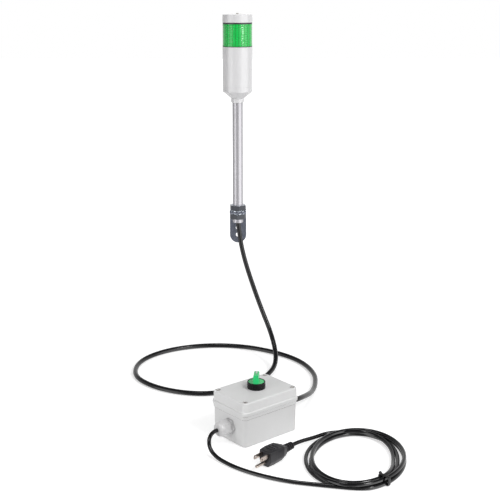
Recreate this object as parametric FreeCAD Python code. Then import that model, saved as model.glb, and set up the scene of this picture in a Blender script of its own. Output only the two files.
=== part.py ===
"""Signal tower light on a wall bracket, wired to a switch box with a mains cord.

Millimetres, +Z up. The origin is the centre of the bracket's two holes on its mounting face, and +Y
points out of that face, into the wall. The tower stands upright in front of the wall. The switch box
and the free cords lie on a level surface below it.
"""

import FreeCAD
import Part
import math
import os
from FreeCAD import Placement, Rotation, Vector

UP = Vector(0, 0, 1)
TURN = 360.0

# ---- bracket: an L of folded steel plate ----
bracket_width = 32.0
bracket_thickness = 3.0
bracket_bend = 1.0
bracket_hole_spacing = 14.0
bracket_hole_diameter = 9.0
bracket_leg_height = 45.2
bracket_front_corner = 7.0

# ---- pole and its clamping hardware ----
pole_offset = 20.0
pole_diameter = 20.0
pole_wall = 2.0
pole_tail = 19.6
nut_flats = 29.0
nut_thickness = 10.3
nut_chamfer = 1.6
upper_nut_turn = 37.0
lower_nut_turn = 26.0
thread_clearance = 0.05
washer_rim_diameter = 26.5
washer_diameter = 32.0
washer_gauge = 1.2
washer_teeth = 12
washer_tooth_width = 4.0
washer_tooth_twist = 12.0
upper_washer_turn = 8.0
lower_washer_turn = 15.0
grommet_length = 8.0

# ---- tower base: collar, cone and band in one moulding ----
head_diameter = 56.0
base_height = 255.2
collar_diameter = 25.0
collar_height = 7.1
cone_foot_diameter = 23.4
cone_height = 13.4
band_height = 8.9
spigot_height = 6.0
socket_depth = 24.0
moulding_wall = 2.1
slip = 0.1
bridge_width = 9.0
bridge_thickness = 4.0
set_screw_diameter = 3.0

# ---- housing, lens, seals and cap ----
housing_height = 74.2
housing_shelf = 2.0
housing_shelf_width = 6.0
lower_seal_height = 1.4
lens_height = 40.0
lens_diameter = 55.4
lens_wall = 2.6
lens_flange_height = 2.4
lens_rings = 11
lens_ring_depth = 0.5
lens_flutes = 30
lens_flute_depth = 0.7
upper_seal_height = 3.0
seal_setback = 0.5
cap_height = 14.3
cap_dome = 1.3
cap_roof = 2.4
cap_screw_head_diameter = 5.2
cap_screw_head_height = 1.8
cap_screw_diameter = 3.0
cap_screw_grip = 10.0

# ---- light source and its driver ----
rod_diameter = 4.0
column_width = 13.0
column_bore = 5.0
column_flange_thickness = 2.0
column_headroom = 4.0
led_board_width = 10.5
led_board_thickness = 1.2
led_sides = 4
led_rows = 5
led_width = 3.5
led_height = 2.8
led_thickness = 1.3
board_diameter = 46.0
board_thickness = 1.6
capacitor_diameter = 8.0
capacitor_height = 14.0
choke_size = (14.0, 11.0, 12.0)
terminal_size = (14.0, 8.0, 9.0)
core_diameter = 1.8

# ---- the surface that the box and the cords lie on ----
floor_height = -238.8

# ---- switch box, in its own frame: centre of the underside, long side along X ----
box_centre = Vector(32.0, -414.0, floor_height)
box_turn = 40.1
box_length = 117.5
box_width = 86.0
box_height = 75.0
box_corner = 9.0
box_wall = 2.6
box_floor = 3.0
lid_height = 21.6
lid_flare = 1.6
lid_flare_height = 5.2
lid_neck_height = 1.2
lid_taper = 0.6
lid_edge = 2.4
lid_roof = 3.0
lid_overlap = 4.0
rim_setback = 1.5
rim_drop = 6.0
rim_step = 1.0
base_draft = 0.6
base_edge = 1.0
gasket_thickness = 1.5
gasket_width = 1.6
box_screw_inset = 9.0
box_boss_diameter = 10.4
box_screw_diameter = 4.0
box_screw_head_diameter = 7.0
box_screw_head_height = 2.0
box_screw_recess = 2.3
box_screw_length = 32.0

# ---- cable glands ----
gland_height = 27.0
gland_offsets = {-1: -4.0, 1: 6.0}  # across the box: power cord end, lamp cable end
gland_thread_diameter = 16.0
gland_flats = 23.0
gland_flange_length = 5.5
gland_flange_chamfer = 1.0
gland_flange_turn = 26.0
gland_cap_turn = 12.0
gland_spot_clearance = 0.6
gland_cap_length = 14.0
gland_dome_length = 7.0
gland_mouth_diameter = 14.5
gland_inner_length = 11.0
gland_locknut_length = 5.0
gland_bore_diameter = 11.0

# ---- selector switch ----
switch_position = Vector(3.0, 1.0, 0)
switch_hole_diameter = 22.3
bezel_diameter = 30.0
bezel_height = 10.5
bezel_groove = 0.6
bezel_groove_height = 1.2
bezel_lip = 1.8
bezel_seal_thickness = 0.8
barrel_diameter = 22.0
barrel_length = 18.0
knob_gap = 0.3
knob_shaft_diameter = 16.0
knob_disc_thickness = 3.0
knob_sink = 0.5
lever_height = 13.0
lever_width = 8.5
lever_setback = 4.0
lever_edge = 1.2
lever_angle = 85.1
marker_width = 2.0
marker_length = 10.0
marker_depth = 1.2
switch_nut_diameter = 29.0
switch_nut_height = 5.0
cam_radius = 4.6
follower_gap = 0.15
plunger_diameter = 4.0
plunger_length = 12.0
plunger_travel = 2.0
plunger_clearance = 0.06
contact_size = (30.0, 22.0, 26.0)
spring_coil_diameter = 3.2

# ---- terminal strip ----
strip_size = (42.0, 16.0, 13.0)
strip_position = Vector(4.0, -22.0, 0)
strip_ways = 4
strip_mouth_height = 5.0
sheath_beyond_gland = 8.0
terminal_screw_diameter = 4.0

# ---- cords ----
lamp_cable_diameter = 9.0
power_cord_diameter = 6.5
coil_centre = Vector(184.0, -522.8, 0)
coil_half_length = 103.5
coil_half_width = 79.6
coil_band = 18.0
coil_height = 13.0
coil_turn = 75.7
coil_edge = 3.0
tie_angle = -125.0
tie_width = 3.0
tie_gauge = 0.8
tie_gap = 0.3

# ---- plug ----
plug_face = Vector(46.0, -541.0, floor_height)
plug_heading = 228.3
plug_axis_height = 12.5
plug_blade_height = 19.0
plug_body_length = 45.0
plug_top_height = 26.0
plug_face_width = 25.0
plug_rear_width = 15.0
plug_shoulder = 0.72
plug_keel_width = 12.0
relief_length = 18.5
relief_root_diameter = 13.5
relief_end_diameter = 12.0
relief_ribs = 4
grip_grooves = 3
grip_width = 2.0
grip_depth = 1.6
blade_spacing = 12.7
blade_length = 17.8
blade_width = 6.35
blade_thickness = 1.5
blade_hole_diameter = 3.2
blade_hole_setback = 4.0
pin_drop = 11.9
pin_diameter = 4.8
pin_length = 21.0
prong_root = 8.0

# ---- sizes that follow from those above ----
pole_centre = Vector(0, -pole_offset, 0)
pole_radius = pole_diameter / 2
pole_bore_radius = pole_radius - pole_wall
washer_height = (
    washer_tooth_width * math.sin(math.radians(washer_tooth_twist))
    + washer_gauge * math.cos(math.radians(washer_tooth_twist))
)
lower_washer_base = bracket_leg_height - bracket_thickness - washer_height
lower_nut_base = lower_washer_base - nut_thickness
upper_nut_base = bracket_leg_height + washer_height
pole_end = bracket_leg_height - pole_tail - bracket_thickness
pole_top = base_height + socket_depth
head_radius = head_diameter / 2
housing_base = base_height + collar_height + cone_height + band_height
spigot_radius = head_radius - moulding_wall - slip
bridge_base = housing_base + 1.0
bridge_top = bridge_base + bridge_thickness
housing_top = housing_base + housing_height
lens_base = housing_top + lower_seal_height
lens_top = lens_base + lens_height
lens_radius = lens_diameter / 2
lens_bore = lens_radius - lens_wall
cap_base = lens_top + upper_seal_height
cap_shoulder = cap_base + cap_height
cap_crown = cap_shoulder + cap_dome
column_top = lens_top - column_headroom
cap_boss_end = column_top + 2.0
seam_height = box_height - lid_height
rim_base = seam_height - rim_drop
rim_length = box_length - 2 * rim_setback
rim_width = box_width - 2 * rim_setback
rim_corner = box_corner - rim_setback
rim_top = seam_height + lid_overlap
ledge_height = rim_top + gasket_thickness
roof_underside = box_height - lid_roof
cam_rise = plunger_travel / (cam_radius * math.sqrt(2))


# ---- small building blocks ----
def cylinder(radius, low, high, centre=Vector(0, 0, 0)):
    """An upright cylinder between two heights."""
    return Part.makeCylinder(radius, high - low, Vector(centre.x, centre.y, low))


def tube_ring(outer, inner, low, high, centre=Vector(0, 0, 0)):
    """An upright ring between two heights."""
    return cylinder(outer, low, high, centre).cut(cylinder(inner, low - 1, high + 1, centre))


def revolved(profile, centre=Vector(0, 0, 0)):
    """Turn a closed outline of (radius, height) points about the upright axis at a centre."""
    points = [Vector(centre.x + radius, centre.y, height) for radius, height in profile]
    face = Part.Face(Part.makePolygon(points + points[:1]))
    return face.revolve(centre, UP, TURN)


def block(size_x, size_y, low, high, centre=Vector(0, 0, 0)):
    """An upright box about a centre."""
    corner = Vector(centre.x - size_x / 2, centre.y - size_y / 2, low)
    return Part.makeBox(size_x, size_y, high - low, corner)


def rounded_outline(length, width, corner, height):
    """A rectangle with round corners as one closed wire, about the Z axis."""
    half_x = length / 2
    half_y = width / 2
    diagonal = corner * (1 - math.sqrt(0.5))
    edges = []
    for sign_x, sign_y in ((1, 1), (-1, 1), (-1, -1), (1, -1)):
        on_x = Vector(sign_x * half_x, sign_y * (half_y - corner), height)
        on_y = Vector(sign_x * (half_x - corner), sign_y * half_y, height)
        middle = Vector(sign_x * (half_x - diagonal), sign_y * (half_y - diagonal), height)
        first, last = (on_x, on_y) if sign_x == sign_y else (on_y, on_x)
        if edges:
            edges.append(Part.makeLine(edges[-1].Vertexes[-1].Point, first))
        edges.append(Part.Arc(first, middle, last).toShape())
    edges.append(Part.makeLine(edges[-1].Vertexes[-1].Point, edges[0].Vertexes[0].Point))
    return Part.Wire(edges)


def rounded_block(low, high, lower, upper=None):
    """A block with round corners; lower and upper are its (length, width, corner) at each end."""
    if upper is None:
        return Part.Face(rounded_outline(*lower, low)).extrude(Vector(0, 0, high - low))
    return Part.makeLoft([rounded_outline(*lower, low), rounded_outline(*upper, high)], True, True)


def hexagon(flats, low, high, turn=0.0):
    """An upright hexagonal prism about the Z axis."""
    radius = flats / math.sqrt(3)
    points = []
    for side in range(7):
        angle = math.radians(turn + 60 * side)
        points.append(Vector(radius * math.cos(angle), radius * math.sin(angle), low))
    return Part.Face(Part.makePolygon(points)).extrude(Vector(0, 0, high - low))


def chamfered_hexagon(flats, low, high, chamfer, turn=0.0):
    """A hexagonal prism whose corners are turned down at both ends."""
    corner = flats / math.sqrt(3)
    drop = chamfer * 0.6
    turned = revolved(
        [
            (0, low),
            (corner - chamfer, low),
            (corner, low + drop),
            (corner, high - drop),
            (corner - chamfer, high),
            (0, high),
        ]
    )
    return hexagon(flats, low, high, turn).common(turned)


def moved(shape, offset, turn=0.0):
    """A copy turned about the Z axis and then moved."""
    placed = shape.copy()
    placed.Placement = Placement(offset, Rotation(UP, turn)).multiply(placed.Placement)
    return placed


def laid(shape, start, direction):
    """A copy of a shape built along +Z, laid so that +Z points in a direction from a start."""
    placed = shape.copy()
    placed.Placement = Placement(start, Rotation(UP, direction)).multiply(placed.Placement)
    return placed


def bend(before, corner, after):
    """Start, centre, axis, angle and radius of the tangent arc that rounds one corner of a route."""
    inward = (corner - before).normalize()
    onward = (after - corner).normalize()
    angle = inward.getAngle(onward)
    reach = 0.45 * min((corner - before).Length, (after - corner).Length)
    radius = reach / math.tan(angle / 2)
    axis = inward.cross(onward).normalize()
    start = corner - inward * reach
    return start, start + axis.cross(inward) * radius, axis, angle, radius


def tube(points, diameter, name=""):
    """A round bar along straight runs joined by tangent arcs."""
    rim = Part.makeCircle(diameter / 2, points[0], points[1] - points[0])
    walls = []
    radii = []
    place = points[0]
    length = 0
    ends = [Part.Face(Part.Wire(rim))]
    for before, corner, after in zip(points, points[1:], points[2:]):
        start, centre, axis, angle, radius = bend(before, corner, after)
        run = start - place
        walls.append(rim.extrude(run))
        rim = rim.translated(run)
        walls.append(rim.revolve(centre, axis, math.degrees(angle)))
        rim = rim.rotated(centre, axis, math.degrees(angle))
        place = Rotation(axis, math.degrees(angle)).multVec(start - centre) + centre
        length += run.Length + radius * angle
        radii.append(radius)
    run = points[-1] - place
    walls.append(rim.extrude(run))
    ends.append(Part.Face(Part.Wire(rim.translated(run))))
    skin = Part.makeShell(walls + ends)
    skin.sewShape()
    solid = Part.makeSolid(skin)
    if name:
        length += run.Length
        expected = math.pi * diameter**2 / 4 * length
        print(
            f"{name}: length {length:.0f}, least radius {min(radii):.1f} "
            f"({min(radii) / diameter:.1f} diameters), volume {solid.Volume / expected:.4f} of expected"
        )
    return solid


def group(shapes):
    """Separate solids that share one node."""
    return Part.makeCompound(shapes)


def write(node, shape):
    """Write one node's STEP file."""
    shape.exportStep(f"parts/{node}.step")


def write_in_box(node, shape):
    """Write a node that was built in the box's own frame."""
    write(node, moved(shape, box_centre, box_turn))


# ---- bracket and pole ----
def bracket():
    """Folded L plate: the wall leg with two holes and a round foot, the top leg with the pole's hole."""
    half = bracket_width / 2
    bottom_hole = -bracket_hole_spacing / 2
    leg_base = bracket_leg_height - bracket_thickness
    wall_leg = Part.makeBox(
        bracket_width,
        bracket_thickness,
        bracket_leg_height - bottom_hole,
        Vector(-half, -bracket_thickness, bottom_hole),
    )
    foot = Part.makeCylinder(half, bracket_thickness, Vector(0, 0, bottom_hole), Vector(0, -1, 0))
    reach = pole_offset + half
    top_leg = Part.makeBox(bracket_width, reach, bracket_thickness, Vector(-half, -reach, leg_base))
    front = [edge for edge in top_leg.Edges if is_upright(edge) and edge.CenterOfMass.y < -pole_offset]
    top_leg = top_leg.makeFillet(bracket_front_corner, front)
    plate = wall_leg.fuse([foot, top_leg]).removeSplitter()
    outer_bend = Vector(0, 0, bracket_leg_height)
    inner_bend = Vector(0, -bracket_thickness, leg_base)
    plate = plate.makeFillet(bracket_bend + bracket_thickness, [edge_along_x(plate, outer_bend)])
    plate = plate.makeFillet(bracket_bend, [edge_along_x(plate, inner_bend)])
    for side in (-1, 1):
        hole_centre = Vector(0, 1, side * bracket_hole_spacing / 2)
        drill = Part.makeCylinder(
            bracket_hole_diameter / 2, bracket_thickness + 2, hole_centre, Vector(0, -1, 0)
        )
        plate = plate.cut(drill)
    pole_hole = cylinder(pole_radius + 2 * slip, leg_base - 1, bracket_leg_height + 1, pole_centre)
    return plate.cut(pole_hole)


def is_upright(edge):
    """Whether an edge runs along Z."""
    return abs(edge.tangentAt(edge.FirstParameter).z) > 0.99


def edge_along_x(shape, point):
    """The edge along X that passes over a point of the YZ plane."""
    found = []
    for edge in shape.Edges:
        middle = edge.CenterOfMass
        along = abs(edge.tangentAt(edge.FirstParameter).x) > 0.99
        if along and abs(middle.y - point.y) < 0.01 and abs(middle.z - point.z) < 0.01:
            found.append(edge)
    return max(found, key=lambda edge: edge.Length)


def pole():
    """Aluminium tube from below the lower nut up into the base's socket."""
    return tube_ring(pole_radius, pole_bore_radius, pole_end, pole_top, pole_centre)


def pole_nut(low, turn):
    """Thin hexagon nut on the pole's thread."""
    bore = pole_radius + thread_clearance
    high = low + nut_thickness
    nut = chamfered_hexagon(nut_flats, low, high, nut_chamfer, turn)
    return moved(nut.cut(cylinder(bore, low - 1, high + 1)), pole_centre)


def tooth_washer(low, turn):
    """Flat ring with a row of twisted outer teeth that bite both faces."""
    middle = low + washer_height / 2
    rim_radius = washer_rim_diameter / 2
    bore = pole_radius + slip
    ring = tube_ring(rim_radius, bore, middle - washer_gauge / 2, middle + washer_gauge / 2)
    tooth_length = (washer_diameter - washer_rim_diameter) / 2 + 1.0
    teeth = []
    for index in range(washer_teeth):
        tooth = Part.makeBox(
            tooth_length,
            washer_tooth_width,
            washer_gauge,
            Vector(rim_radius - 1.0, -washer_tooth_width / 2, -washer_gauge / 2),
        )
        tooth.rotate(Vector(0, 0, 0), Vector(1, 0, 0), washer_tooth_twist)
        teeth.append(moved(tooth, Vector(0, 0, middle), turn + TURN * index / washer_teeth))
    return moved(ring.fuse(teeth), pole_centre)


def pole_grommet():
    """Rubber bush that holds the cable in the pole's lower end."""
    return tube_ring(
        pole_bore_radius - thread_clearance,
        lamp_cable_diameter / 2 + thread_clearance,
        pole_end,
        pole_end + grommet_length,
        pole_centre,
    )


def pole_cable():
    """The cable's stretch inside the pole, up to the base's socket."""
    return cylinder(lamp_cable_diameter / 2, pole_end, pole_top - 4.0, pole_centre)


# ---- tower base and housing ----
def pole_base():
    """Collar, cone and band, with the pole's socket, the spigot and the bridge that holds the rod."""
    collar = collar_diameter / 2
    cone_foot = cone_foot_diameter / 2
    socket = pole_radius + thread_clearance
    sleeve = socket + moulding_wall
    spigot_bore = spigot_radius - moulding_wall
    cone_base = base_height + collar_height
    cone_top = cone_base + cone_height
    stop_top = pole_top + moulding_wall
    slope = cone_height / (head_radius - cone_foot)
    floor_rise = 1.6 * moulding_wall
    shell = revolved(
        [
            (socket, base_height),
            (collar, base_height),
            (collar, cone_base),
            (cone_foot, cone_base),
            (head_radius, cone_top),
            (head_radius, housing_base),
            (spigot_radius, housing_base),
            (spigot_radius, housing_base + spigot_height),
            (spigot_bore, housing_base + spigot_height),
            (spigot_bore, cone_base + slope * (spigot_bore - cone_foot) + floor_rise),
            (sleeve, cone_base + slope * (sleeve - cone_foot) + floor_rise),
            (sleeve, stop_top),
            (pole_bore_radius, stop_top),
            (pole_bore_radius, pole_top),
            (socket, pole_top),
        ]
    )
    bridge = block(2 * spigot_bore + 1.0, bridge_width, bridge_base, bridge_top)
    rod_hole = cylinder(rod_diameter / 2 + thread_clearance, bridge_base - 1, bridge_top + 1)
    bridge = bridge.cut(rod_hole)
    screw_seat = laid(
        Part.makeCylinder(set_screw_diameter / 2 + thread_clearance, collar),
        set_screw_start(),
        set_screw_direction() * -1,
    )
    return moved(shell.fuse(bridge).cut(screw_seat), pole_centre)


def set_screw_direction():
    """Outward direction of the set screw in the collar."""
    angle = math.radians(225)
    return Vector(math.cos(angle), math.sin(angle), 0)


def set_screw_start():
    """Outer end of the set screw's hole."""
    mid_collar = base_height + collar_height / 2
    return set_screw_direction() * (collar_diameter / 2 + 0.5) + Vector(0, 0, mid_collar)


def pole_set_screw():
    """Grub screw from the collar's face to the pole, with a driver's slot."""
    outer = collar_diameter / 2 - 0.3
    length = outer - pole_radius
    screw = Part.makeCylinder(set_screw_diameter / 2, length)
    slot = Part.makeBox(set_screw_diameter, 0.6, 0.7, Vector(-set_screw_diameter / 2, -0.3, 0))
    start = set_screw_direction() * outer + Vector(0, 0, base_height + collar_height / 2)
    return moved(laid(screw.cut(slot), start, set_screw_direction() * -1), pole_centre)


def body_housing():
    """Long plain cylinder of the driver housing, with an inner shelf that carries the light."""
    bore = head_radius - moulding_wall
    shelf_bore = bore - housing_shelf_width
    return revolved(
        [
            (bore, housing_base),
            (head_radius, housing_base),
            (head_radius, housing_top),
            (shelf_bore, housing_top),
            (shelf_bore, housing_top - housing_shelf),
            (bore, housing_top - housing_shelf - housing_shelf_width / 2),
        ],
        pole_centre,
    )


def lower_seal():
    """Flat ring between the housing and the lens."""
    outer = head_radius - seal_setback
    return tube_ring(outer, lens_bore, housing_top, lens_base, pole_centre)


def lens():
    """Clear green cylinder: rounded rings outside, upright flutes inside, and a plain foot flange."""
    flange_top = lens_base + lens_flange_height
    rim_base = lens_top - 1.2
    pitch = (rim_base - flange_top) / lens_rings
    outline = [Vector(0, 0, lens_base), Vector(head_radius - 0.1, 0, lens_base)]
    outline.append(Vector(head_radius - 0.1, 0, flange_top))
    outline.append(Vector(lens_radius - lens_ring_depth, 0, flange_top))
    edges = [Part.makeLine(*pair) for pair in zip(outline, outline[1:])]
    for index in range(lens_rings):
        low = flange_top + pitch * index
        start = Vector(lens_radius - lens_ring_depth, 0, low)
        crest = Vector(lens_radius, 0, low + pitch / 2)
        end = Vector(lens_radius - lens_ring_depth, 0, low + pitch)
        edges.append(Part.Arc(start, crest, end).toShape())
    rim = [
        Vector(lens_radius - lens_ring_depth, 0, rim_base),
        Vector(lens_radius, 0, rim_base),
        Vector(lens_radius, 0, lens_top),
        Vector(0, 0, lens_top),
        Vector(0, 0, lens_base),
    ]
    edges += [Part.makeLine(*pair) for pair in zip(rim, rim[1:])]
    outside = Part.Face(Part.Wire(edges)).revolve(Vector(0, 0, 0), UP, TURN)
    corners = []
    for index in range(2 * lens_flutes + 1):
        radius = lens_bore if index % 2 else lens_bore + lens_flute_depth
        angle = math.pi * index / lens_flutes
        corners.append(Vector(radius * math.cos(angle), radius * math.sin(angle), lens_base - 1))
    inside = Part.Face(Part.makePolygon(corners)).extrude(Vector(0, 0, lens_height + 2))
    return moved(outside.cut(inside), pole_centre)


def upper_seal():
    """Black ring between the lens and the cap."""
    outer = head_radius - seal_setback
    return tube_ring(outer, lens_bore, lens_top, cap_base, pole_centre)


def top_cap():
    """Cap with a slight dome, a rim that locates in the seal and a boss for the centre screw."""
    cavity = head_radius - 2 * moulding_wall
    locator = lens_bore - slip
    boss = rod_diameter / 2 + moulding_wall
    hole = cap_screw_diameter / 2 + slip
    sphere = (head_radius**2 + cap_dome**2) / (2 * cap_dome)
    centre_height = cap_crown - sphere
    rim = cap_shoulder
    outline = [
        (hole, cap_boss_end),
        (boss, cap_boss_end),
        (boss, cap_shoulder - cap_roof),
        (cavity, cap_shoulder - cap_roof),
        (cavity, cap_base - 2.0),
        (locator, cap_base - 2.0),
        (locator, cap_base),
        (head_radius, cap_base),
        (head_radius, rim - 0.8),
        (head_radius - 0.8, rim),
        (hole, rim),
    ]
    body = revolved(outline)
    bowl = Part.makeSphere(sphere, Vector(0, 0, centre_height))
    dome = bowl.common(cylinder(head_radius - 0.8, rim - 0.1, cap_crown + 1))
    dome = dome.cut(cylinder(hole, rim - 1, cap_crown + 1))
    return moved(body.fuse(dome).cut(screw_head_seat()), pole_centre)


def screw_head_seat():
    """Flat on the dome under the centre screw's head."""
    seat = cap_crown - 0.3
    return cylinder(cap_screw_head_diameter / 2 + slip, seat, cap_crown + 1)


def cap_screw():
    """Centre screw through the cap's boss into the rod."""
    seat = cap_crown - 0.3
    head_top = seat + cap_screw_head_height
    radius = cap_screw_head_diameter / 2
    shank = cap_screw_diameter / 2
    screw = revolved(
        [
            (0, cap_boss_end - cap_screw_grip),
            (shank, cap_boss_end - cap_screw_grip),
            (shank, seat),
            (radius, seat),
            (radius, seat + 0.5 * cap_screw_head_height),
            (0.7 * radius, head_top - 0.2),
            (0, head_top),
        ]
    )
    slot = block(2 * radius + 1, 0.9, seat + 0.55 * cap_screw_head_height, head_top + 1)
    return moved(screw.cut(slot), pole_centre)


def tie_rod():
    """Rod from the base's bridge to the cap's boss, tapped for the centre screw."""
    rod = cylinder(rod_diameter / 2, bridge_base - 3.0, cap_boss_end)
    nut = chamfered_hexagon(7.0, bridge_base - 3.0, bridge_base, 0.5)
    depth = cap_boss_end - cap_screw_grip - 1.0
    tapped = cylinder(cap_screw_diameter / 2 + thread_clearance, depth, cap_boss_end + 1)
    return moved(rod.fuse(nut).cut(tapped), pole_centre)


# ---- light source ----
def led_column():
    """Square post with a round foot that stands on the housing's shelf."""
    foot = head_radius - moulding_wall - housing_shelf_width / 2
    foot_top = housing_top + column_flange_thickness
    post = block(column_width, column_width, housing_top, column_top)
    post = post.makeFillet(1.2, [edge for edge in post.Edges if is_upright(edge)])
    post = post.fuse(cylinder(foot, housing_top, foot_top))
    post = post.cut(cylinder(column_bore / 2, housing_top - 1, column_top + 1))
    for side in (-1, 1):
        wire_slot = cylinder(2.5, housing_top - 1, foot_top + 1, Vector(side * 13.0, 0, 0))
        post = post.cut(wire_slot)
    return moved(post, pole_centre)


def led_board_span():
    """Lower and upper ends of the light boards."""
    return housing_top + column_flange_thickness, column_top - 0.5


def led_boards():
    """Four narrow boards, one on each face of the column."""
    low, high = led_board_span()
    boards = []
    for side in range(led_sides):
        centre = Vector((column_width + led_board_thickness) / 2, 0, 0)
        board = block(led_board_thickness, led_board_width, low, high, centre)
        boards.append(moved(board, pole_centre, TURN / led_sides * side))
    return group(boards)


def led_chips():
    """Rows of light-emitting chips on the boards."""
    low, high = led_board_span()
    pitch = (high - low) / led_rows
    chips = []
    for side in range(led_sides):
        for row in range(led_rows):
            base = low + pitch * (row + 0.5) - led_height / 2
            reach = column_width / 2 + led_board_thickness + led_thickness / 2
            chip = block(led_thickness, led_width, base, base + led_height, Vector(reach, 0, 0))
            chips.append(moved(chip, pole_centre, TURN / led_sides * side))
    return group(chips)


# ---- driver ----
def driver_board():
    """Round circuit board on the base's bridge, open at the sides for the wires."""
    board = cylinder(board_diameter / 2, bridge_top, bridge_top + board_thickness)
    above = bridge_top + board_thickness + 1
    board = board.cut(cylinder(rod_diameter / 2 + 3 * slip, bridge_top - 1, above))
    notch = block(9.0, 9.0, bridge_top - 1, above, Vector(0, -board_diameter / 2, 0))
    return moved(board.cut(notch), pole_centre)


def driver_capacitors():
    """Two upright round capacitors."""
    base = bridge_top + board_thickness
    cans = []
    for side in (-1, 1):
        centre = Vector(side * 13.0, 4.0, 0)
        can = cylinder(capacitor_diameter / 2, base, base + capacitor_height, centre)
        cans.append(moved(can, pole_centre))
    return group(cans)


def driver_choke():
    """Wound choke with its flanges, behind the rod."""
    length, depth, height = choke_size
    base = bridge_top + board_thickness
    centre = Vector(0, 12.0, 0)
    lower = block(length, depth, base, base + 2.0, centre)
    upper = block(length, depth, base + height - 2.0, base + height, centre)
    winding = cylinder(depth / 2 - 1.0, base + 2.0, base + height - 2.0, centre)
    return moved(lower.fuse([winding, upper]), pole_centre)


def driver_terminal():
    """Screw terminal that takes the cable's cores, in front of the rod."""
    length, depth, height = terminal_size
    base = bridge_top + board_thickness
    centre = Vector(0, -11.0, 0)
    body = block(length, depth, base, base + height, centre)
    for side in (-1, 0, 1):
        mouth = Vector(side * length / 3, -11.0 - depth / 2, 0)
        body = body.cut(block(2.6, 3.0, base + 1.0, base + 3.6, mouth))
        well = Vector(side * length / 3, -11.0, 0)
        body = body.cut(cylinder(1.4, base + height - 1.5, base + height + 1, well))
    return moved(body, pole_centre)


def lamp_cores():
    """Three cores from the end of the cable, through the board's notch, to the terminal."""
    length, depth = terminal_size[:2]
    base = bridge_top + board_thickness
    front = -board_diameter / 2 + 2.4
    mouth = -11.0 - depth / 2
    cores = []
    for side in (-1, 0, 1):
        way = [
            Vector(side * 1.9, -2.6, pole_top - 4.0),
            Vector(side * 1.9, -2.6, pole_top - 0.8),
            Vector(side * 2.4, -8.4, bridge_base - 0.8),
            Vector(side * 2.7, -15.0, bridge_base + 0.6),
            Vector(side * 2.9, front + 0.4, bridge_top - 0.9),
            Vector(side * 3.3, front, base + 1.0),
            Vector(side * 0.3 * length, mouth - 2.4, base + 2.5),
            Vector(side * length / 3, mouth + 1.0, base + 2.3),
        ]
        cores.append(moved(tube(way, core_diameter), pole_centre))
    return group(cores)


# ---- switch box ----
def base_section(height):
    """Length, width and corner radius of the base's outside at a height below its rim."""
    inset = rim_step + base_draft * (rim_base - height) / rim_base
    return rim_length - 2 * inset, rim_width - 2 * inset, rim_corner


def screw_places():
    """Centres of the four lid screws."""
    reach_x = box_length / 2 - box_screw_inset
    reach_y = box_width / 2 - box_screw_inset
    return [Vector(sign_x * reach_x, sign_y * reach_y, 0) for sign_x in (-1, 1) for sign_y in (-1, 1)]


def box_base():
    """Open box with drafted walls, a rim band, corner posts for the screws and two gland holes."""
    bottom = base_section(base_edge)
    foot_face = [size - 2 * base_edge for size in bottom[:2]] + [bottom[2] - base_edge]
    body = rounded_block(0, base_edge, foot_face, bottom)
    body = body.fuse(rounded_block(base_edge, rim_base, bottom, base_section(rim_base)))
    body = body.fuse(rounded_block(rim_base, rim_top, (rim_length, rim_width, rim_corner)))
    inside = (rim_length - 2 * box_wall, rim_width - 2 * box_wall, rim_corner - box_wall)
    foot = (inside[0] - 2 * base_draft, inside[1] - 2 * base_draft, inside[2])
    body = body.cut(rounded_block(box_floor, rim_top + 1, foot, inside))
    for place in screw_places():
        body = body.fuse(cylinder(box_boss_diameter / 2, box_floor - 1, rim_top, place))
    body = body.common(rounded_block(-1, rim_top, (rim_length, rim_width, rim_corner)))
    for place in screw_places():
        pilot = cylinder(
            box_screw_diameter / 2 + thread_clearance, screw_tip() - 1.0, rim_top + 1, place
        )
        body = body.cut(pilot)
    for side in (-1, 1):
        drill = Part.makeCylinder(gland_thread_diameter / 2 + slip, box_wall + 4)
        body = body.cut(laid(drill, gland_seat(side) - gland_axis(side) * (box_wall + 3), gland_axis(side)))
        spot = Part.makeCylinder(gland_flats / math.sqrt(3) + gland_spot_clearance, 3.0)
        body = body.cut(laid(spot, gland_seat(side), gland_axis(side)))
    return body


def box_lid():
    """Lid with an overlapping flared skirt, a rounded top edge, screw recesses and the switch hole."""
    flare_top = seam_height + lid_flare_height
    neck = flare_top + lid_neck_height
    flared = (box_length, box_width, box_corner)
    necked = (box_length - 2 * lid_flare, box_width - 2 * lid_flare, box_corner - lid_flare)
    crowned = (necked[0] - 2 * lid_taper, necked[1] - 2 * lid_taper, necked[2] - lid_taper)
    skirt = rounded_block(seam_height, flare_top, flared)
    shoulder = rounded_block(flare_top, neck, flared, necked)
    crown = rounded_block(neck, box_height, necked, crowned)
    top_edges = [edge for edge in crown.Edges if edge.BoundBox.ZMin > box_height - 0.01]
    crown = crown.makeFillet(lid_edge, top_edges)
    lid = skirt.fuse([shoulder, crown])
    mouth = (rim_length + 2 * slip, rim_width + 2 * slip, rim_corner + slip)
    lid = lid.cut(rounded_block(seam_height - 1, ledge_height, mouth))
    cavity = (rim_length - 2 * box_wall, rim_width - 2 * box_wall, rim_corner - box_wall)
    lid = lid.cut(rounded_block(ledge_height - 1, roof_underside, cavity))
    for place in screw_places():
        lid = lid.fuse(cylinder(box_boss_diameter / 2 - 0.6, rim_top, roof_underside + 1, place))
    for place in screw_places():
        lid = lid.cut(cylinder(box_screw_diameter / 2 + 2 * slip, rim_top - 1, box_height + 1, place))
        recess = box_screw_head_diameter / 2 + 1.0
        lid = lid.cut(cylinder(recess, box_height - box_screw_recess, box_height + 1, place))
    hole = cylinder(switch_hole_diameter / 2, roof_underside - 1, box_height + 1, switch_position)
    return lid.cut(hole)


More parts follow.
